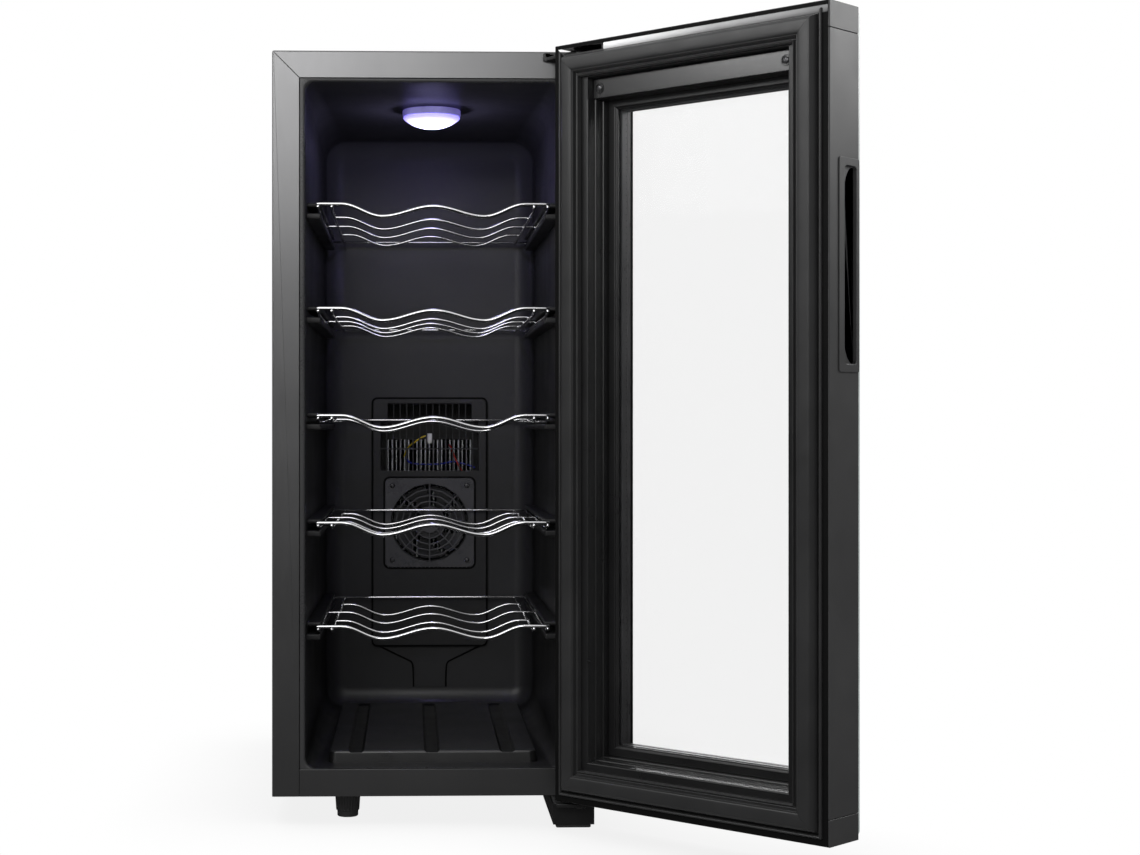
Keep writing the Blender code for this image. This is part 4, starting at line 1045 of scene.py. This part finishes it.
def spacer_piece():
    bm = bmesh.new()
    prof = [(41.0, 27.9), (47.4, 27.9), (48.0, 28.6), (48.0, 32.4), (47.7, 32.6), (47.7, 35.0), (48.0, 35.2),
            (48.0, 39.0), (47.4, 39.7), (41.0, 39.7)]
    door_sweep(bm, prof, dtop=6.6, gap=0.05)
    finish_mesh("glass_spacer_shape", bm, M["spacer"], "door", ["glass_spacer"], smooth=30)
    # rows of breathing holes along the spacer's inner face
    bm = bmesh.new()

    def dot(centre, along, across, r=0.42):
        vs = [bm.verts.new(D(*[centre[i] + r * (along[i] * 1.4 * math.cos(a) + across[i] * math.sin(a))
                               for i in range(3)])) for a in [2 * math.pi * k / 8 for k in range(8)]]
        bm.faces.new(vs)
    z = DZ0 + 52
    while z < DZ1 - 58:
        for u, s in ((U0 + 47.74, 1), (U1 - 47.74, -1)):
            dot((u, 33.8, z), (0, 0, 1), (0, 1, 0))
        z += 5.2
    u = U0 + 52
    while u < U1 - 52:
        for zz in (DZ0 + 47.74, DZ1 - 54.34):
            dot((u, 33.8, zz), (1, 0, 0), (0, 1, 0))
        u += 5.2
    ext = bmesh.ops.extrude_face_region(bm, geom=bm.faces[:])
    vs = [v for v in ext["geom"] if isinstance(v, bmesh.types.BMVert)]
    centre = D((U0 + U1) / 2, 33.8, (DZ0 + DZ1) / 2)
    for v in vs:
        d = centre - v.co
        # push each hole's floor 0.05 mm off the wall towards the middle of the window
        n = Vector((0, 0, 1 if d.z > 0 else -1)) if abs(d.z) > 0.2525 else (D(1, 0, 0) - D(0, 0, 0)).normalized() * \
            (1 if d.dot(D(1, 0, 0) - D(0, 0, 0)) > 0 else -1)
        v.co += n * 0.00006
    finish_mesh("spacer_holes", bm, M["perforation"], "door", (), smooth=0, weighted=False)


spacer_piece()


def glass_slab(name, inset, z_lo, z_hi, w0, w1, r, arris, clear_e, clear_top, mats, node):
    """A pane with ground edges; clear_e splits the printed border from the clear middle."""
    bm = bmesh.new()
    k = 8

    def ring(off, w, rr):
        pts = []
        for cu, cz, a0 in ((U1 - inset - off - rr, z_lo + off + rr, -90), (U1 - inset - off - rr, z_hi - off - rr, 0),
                           (U0 + inset + off + rr, z_hi - off - rr, 90), (U0 + inset + off + rr, z_lo + off + rr, 180)):
            for i in range(k + 1):
                a = math.radians(a0 + 90 * i / k)
                pts.append(D(cu + rr * math.cos(a), w, cz + rr * math.sin(a)))
        return pts
    rows = skin(bm, [ring(arris, w0, r - arris * 0.5), ring(0, w0 + arris, r), ring(0, w1 - arris, r),
                     ring(arris, w1, r - arris * 0.5)])
    for f in bm.faces:
        f.material_index = 1
    for row, w in ((rows[0], w0), (rows[-1], w1)):
        if clear_e:
            lo_u, hi_u, lo_z, hi_z = U0 + clear_e, U1 - clear_e, DZ0 + clear_e, DZ1 - clear_top
            inner = []
            for cu, cz in ((hi_u, lo_z), (hi_u, hi_z), (lo_u, hi_z), (lo_u, lo_z)):
                inner.append(bm.verts.new(D(cu, w, cz)))
            n = len(row)
            for q in range(4):
                seg = row[q * (k + 1):(q + 1) * (k + 1)]
                for i in range(k):
                    f = bm.faces.new((seg[i], seg[i + 1], inner[q]))
                    f.material_index = 2
                f = bm.faces.new((seg[-1], row[((q + 1) * (k + 1)) % n], inner[(q + 1) % 4], inner[q]))
                f.material_index = 2
            f = bm.faces.new(inner)
            f.material_index = 0
        else:
            f = bm.faces.new(row)
            f.material_index = 0
    return finish_mesh(name, bm, mats, "door", [node], smooth=30, weighted=False)


glass_slab("outer_glass_shape", 1.5, DZ0 + 1.5, DZ1 - 1.5, 40.0, 44.0, 5.0, 0.5, 46.5, 52.5,
           [M["pane"], M["glass_edge"], M["print"]], "outer_glass")
glass_slab("inner_glass_shape", 39.5, DZ0 + 39.5, DZ1 - 46, 24.6, 27.6, 1.0, 0.3, None, None,
           [M["pane"], M["glass_edge"]], "inner_glass")

refine("control_cover", M["gloss_plastic"], 0.6, 3, angle=40)
for node, u in (("cover_screw_free_side", U0 + 42), ("cover_screw_hinge_side", U1 - 42)):
    def onto(x, y, z, u=u):
        return D(u + x, 6.6 - z, DZ1 - 38.5 + y)
    cross_screw(node + "_shape", None, onto, "door", node, M["screw_black"], r=2.8, h=1.4)


def screw_wells():
    """The low collars round the two cover screws."""
    bm = bmesh.new()
    for u in (U0 + 42, U1 - 42):
        b = bmesh.new()
        lathe(b, [(3.3, -0.25), (3.4, 0.25), (3.65, 0.5), (4.1, 0.5), (4.4, 0.2), (4.5, -0.25)], (0, 0, 0), steps=40,
              closed=True)
        for v in b.verts:
            x, y, z = v.co
            v.co = D(u + x, 6.7 - z, DZ1 - 38.5 + y)
        me = bpy.data.meshes.new("tmp")
        b.to_mesh(me)
        b.free()
        bm.from_mesh(me)
        bpy.data.meshes.remove(me)
    return finish_mesh("screw_wells", bm, M["gloss_plastic"], "door", (), smooth=40)


screw_wells()
refine("control_board", M["board"], 0.2, 1)
refine("handle_insert", M["edge_finish"], 0.45, 3, angle=45)
refine("top_hinge_bush", M["white"], 0.3, 2, angle=50)
refine("bottom_hinge_bush", M["white"], 0.3, 2, angle=50)

# ---------------------------------------------------------------- hinges and feet
refine("top_hinge_bracket", M["cap_plastic"], 0.45, 3, angle=40)
refine("bottom_hinge_bracket", M["frame_plastic"], 0.45, 3, angle=40)
refine("hinge_foot", M["foot_rubber"], 0.8, 3, angle=40)


def pin_piece(node, profile):
    bm = bmesh.new()
    lathe(bm, profile, (PIN[0], PIN[1], 0), steps=40)
    return finish_mesh(node + "_shape", bm, M["zinc"], "cabinet", [node], smooth=40, mm=C)


pin_piece("top_hinge_pin", [(0, 639.9), (4.3, 639.9), (4.8, 639.7), (5.0, 639.3), (5.0, 638.5), (4.8, 638.3), (3.0, 638.3),
                            (3.0, 624.2), (2.6, 623.4), (2.0, 623), (0, 623)])
pin_piece("bottom_hinge_pin", [(0, 41), (2.0, 41), (2.6, 40.7), (3.0, 40), (3.0, 19.9), (4.8, 19.9), (5.0, 19.7),
                               (5.0, 18.9), (4.7, 18.4), (4.3, 18.3), (0, 18.3)])


def foot_piece(name, x, y):
    bm = bmesh.new()

    def knurl(r, h, a):
        if 5.6 < h < 20.6 and r > 9:
            return r - 0.55 * (0.5 + 0.5 * math.cos(24 * a)) ** 2
        return r
    prof = [(0, 36), (2.2, 36), (2.8, 35.6), (3.0, 35), (3.0, 23.1), (11.1, 23.1), (11.45, 22.8), (11.5, 22.3),
            (11.45, 21.6), (11.1, 21.0), (11.0, 20.5), (10.9, 19.6), (10.55, 15), (10.2, 10), (9.95, 6.2), (9.85, 5.5),
            (9.5, 5.0), (8.95, 4.7), (8.9, 4.2), (8.9, 1.0), (8.7, 0.4), (8.3, 0.0), (0, 0)]
    lathe(bm, prof, (x, y, 0), steps=144, fn=knurl)
    return finish_mesh(name + "_shape", bm, M["foot_rubber"], name, [name], smooth=50, mm=C)


for name, (x, y) in {"foot_front_left": (-72.4, 40.0), "foot_rear_left": (-95.0, 420.0),
                     "foot_rear_right": (95.0, 420.0)}.items():
    foot_piece(name, x, y)

# ---------------------------------------------------------------- back
refine("rear_panel", M["steel_black"], 0.2, 1, angle=50)
refine("rear_fan_guard", M["guard"], 0.4, 2, angle=40)
refine("power_inlet", M["frame_plastic"], 0.3, 2, angle=40)
refine("power_board", M["board"], 0.3, 1, angle=40)
NODES["foam_insulation"].data.materials.clear()
NODES["foam_insulation"].data.materials.append(M["foam"])

# ---------------------------------------------------------------- stage and light
bm = bmesh.new()
bmesh.ops.create_grid(bm, x_segments=8, y_segments=8, size=7.0)
me = bpy.data.meshes.new("stage_floor")
bm.to_mesh(me)
bm.free()
floor_ob = bpy.data.objects.new("stage_floor", me)
SCENE.collection.objects.link(floor_ob)
fm, nt, out = new_material("pale_floor")
# the floor glows evenly; its contact shadow under the cabinet is painted from the AO node, not cast by the lamps
ao = nt.nodes.new("ShaderNodeAmbientOcclusion")
ao.samples = 8
ao.inputs["Distance"].default_value = 0.16
glow = nt.nodes.new("ShaderNodeEmission")
nt.links.new(mix_rgb(nt, remap(nt, ao.outputs["AO"], 0.0, 1.0, 0.35, 1.0), (0.86, 0.86, 0.86), (1.0, 1.0, 1.0)),
             glow.inputs["Color"])
glow.inputs["Strength"].default_value = 1.0
nt.links.new(glow.outputs["Emission"], out.inputs["Surface"])
me.materials.append(fm)
floor_ob.visible_glossy = False

world = bpy.data.worlds.new("studio")
SCENE.world = world
world.use_nodes = True
wt = world.node_tree
wt.nodes.clear()
wo = wt.nodes.new("ShaderNodeOutputWorld")
plain = wt.nodes.new("ShaderNodeBackground")
plain.inputs["Color"].default_value = (1, 1, 1, 1)
plain.inputs["Strength"].default_value = 1.0
dome = wt.nodes.new("ShaderNodeBackground")
dome.inputs["Strength"].default_value = 1.0
tc = wt.nodes.new("ShaderNodeTexCoord")
sep = wt.nodes.new("ShaderNodeSeparateXYZ")
wt.links.new(tc.outputs["Generated"], sep.inputs[0])
ramp = wt.nodes.new("ShaderNodeValToRGB")
rm = wt.nodes.new("ShaderNodeMapRange")
rm.inputs["From Min"].default_value = -1.0
rm.inputs["From Max"].default_value = 1.0
wt.links.new(sep.outputs["Z"], rm.inputs["Value"])
wt.links.new(rm.outputs["Result"], ramp.inputs["Fac"])
els = ramp.color_ramp.elements
els[0].position, els[0].color = 0.0, (0.02, 0.02, 0.02, 1)
els[1].position, els[1].color = 1.0, (0.9, 0.9, 0.9, 1)
for pos, val in ((0.47, 0.02), (0.55, 0.1), (0.65, 0.5)):
    e = els.new(pos)
    e.color = (val, val, val, 1)
wt.links.new(ramp.outputs["Color"], dome.inputs["Color"])
fill = wt.nodes.new("ShaderNodeBackground")
fill.inputs["Color"].default_value = (1, 1, 1, 1)
fill.inputs["Strength"].default_value = 0.75
lp = wt.nodes.new("ShaderNodeLightPath")
mix_fill = wt.nodes.new("ShaderNodeMixShader")
wt.links.new(lp.outputs["Is Diffuse Ray"], mix_fill.inputs["Fac"])
wt.links.new(dome.outputs[0], mix_fill.inputs[1])
wt.links.new(fill.outputs[0], mix_fill.inputs[2])
mixw = wt.nodes.new("ShaderNodeMixShader")
wt.links.new(lp.outputs["Is Camera Ray"], mixw.inputs["Fac"])
wt.links.new(mix_fill.outputs[0], mixw.inputs[1])
wt.links.new(plain.outputs[0], mixw.inputs[2])
wt.links.new(mixw.outputs[0], wo.inputs["Surface"])


def area(name, loc, target, size, size_y, power, color=(1, 1, 1)):
    ld = bpy.data.lights.new(name, "AREA")
    ld.shape = "RECTANGLE"
    ld.size, ld.size_y = size, size_y
    ld.energy = power
    ld.color = color
    ob = bpy.data.objects.new(name, ld)
    SCENE.collection.objects.link(ob)
    ob.location = loc
    ob.rotation_euler = (Vector(target) - Vector(loc)).to_track_quat("-Z", "Y").to_euler()
    ob.visible_camera = False
    return ob


area("front_softbox", (-0.93, -2.2, 1.17), (-0.93, 0.0, 1.17), 1.9, 0.74, 16.6)
area("left_softbox", (-2.2, -1.06, 1.56), (0.0, -1.06, 1.56), 1.06, 1.08, 18)
area("right_softbox", (2.2, 0.35, 1.4), (0.0, 0.35, 1.4), 1.1, 0.9, 12.5)
area("back_softbox", (0.5, 2.7, 1.3), (0.0, 0.3, 0.4), 1.8, 1.0, 22)

lamp = bpy.data.lights.new("lamp_glow", "POINT")
lamp.energy = 0.7
lamp.color = (0.6, 0.56, 1.0)
lamp.shadow_soft_size = 0.006
lamp_ob = bpy.data.objects.new("lamp_glow", lamp)
SCENE.collection.objects.link(lamp_ob)
lamp_ob.location = C(0, 143, 593)
lamp_ob.visible_glossy = False
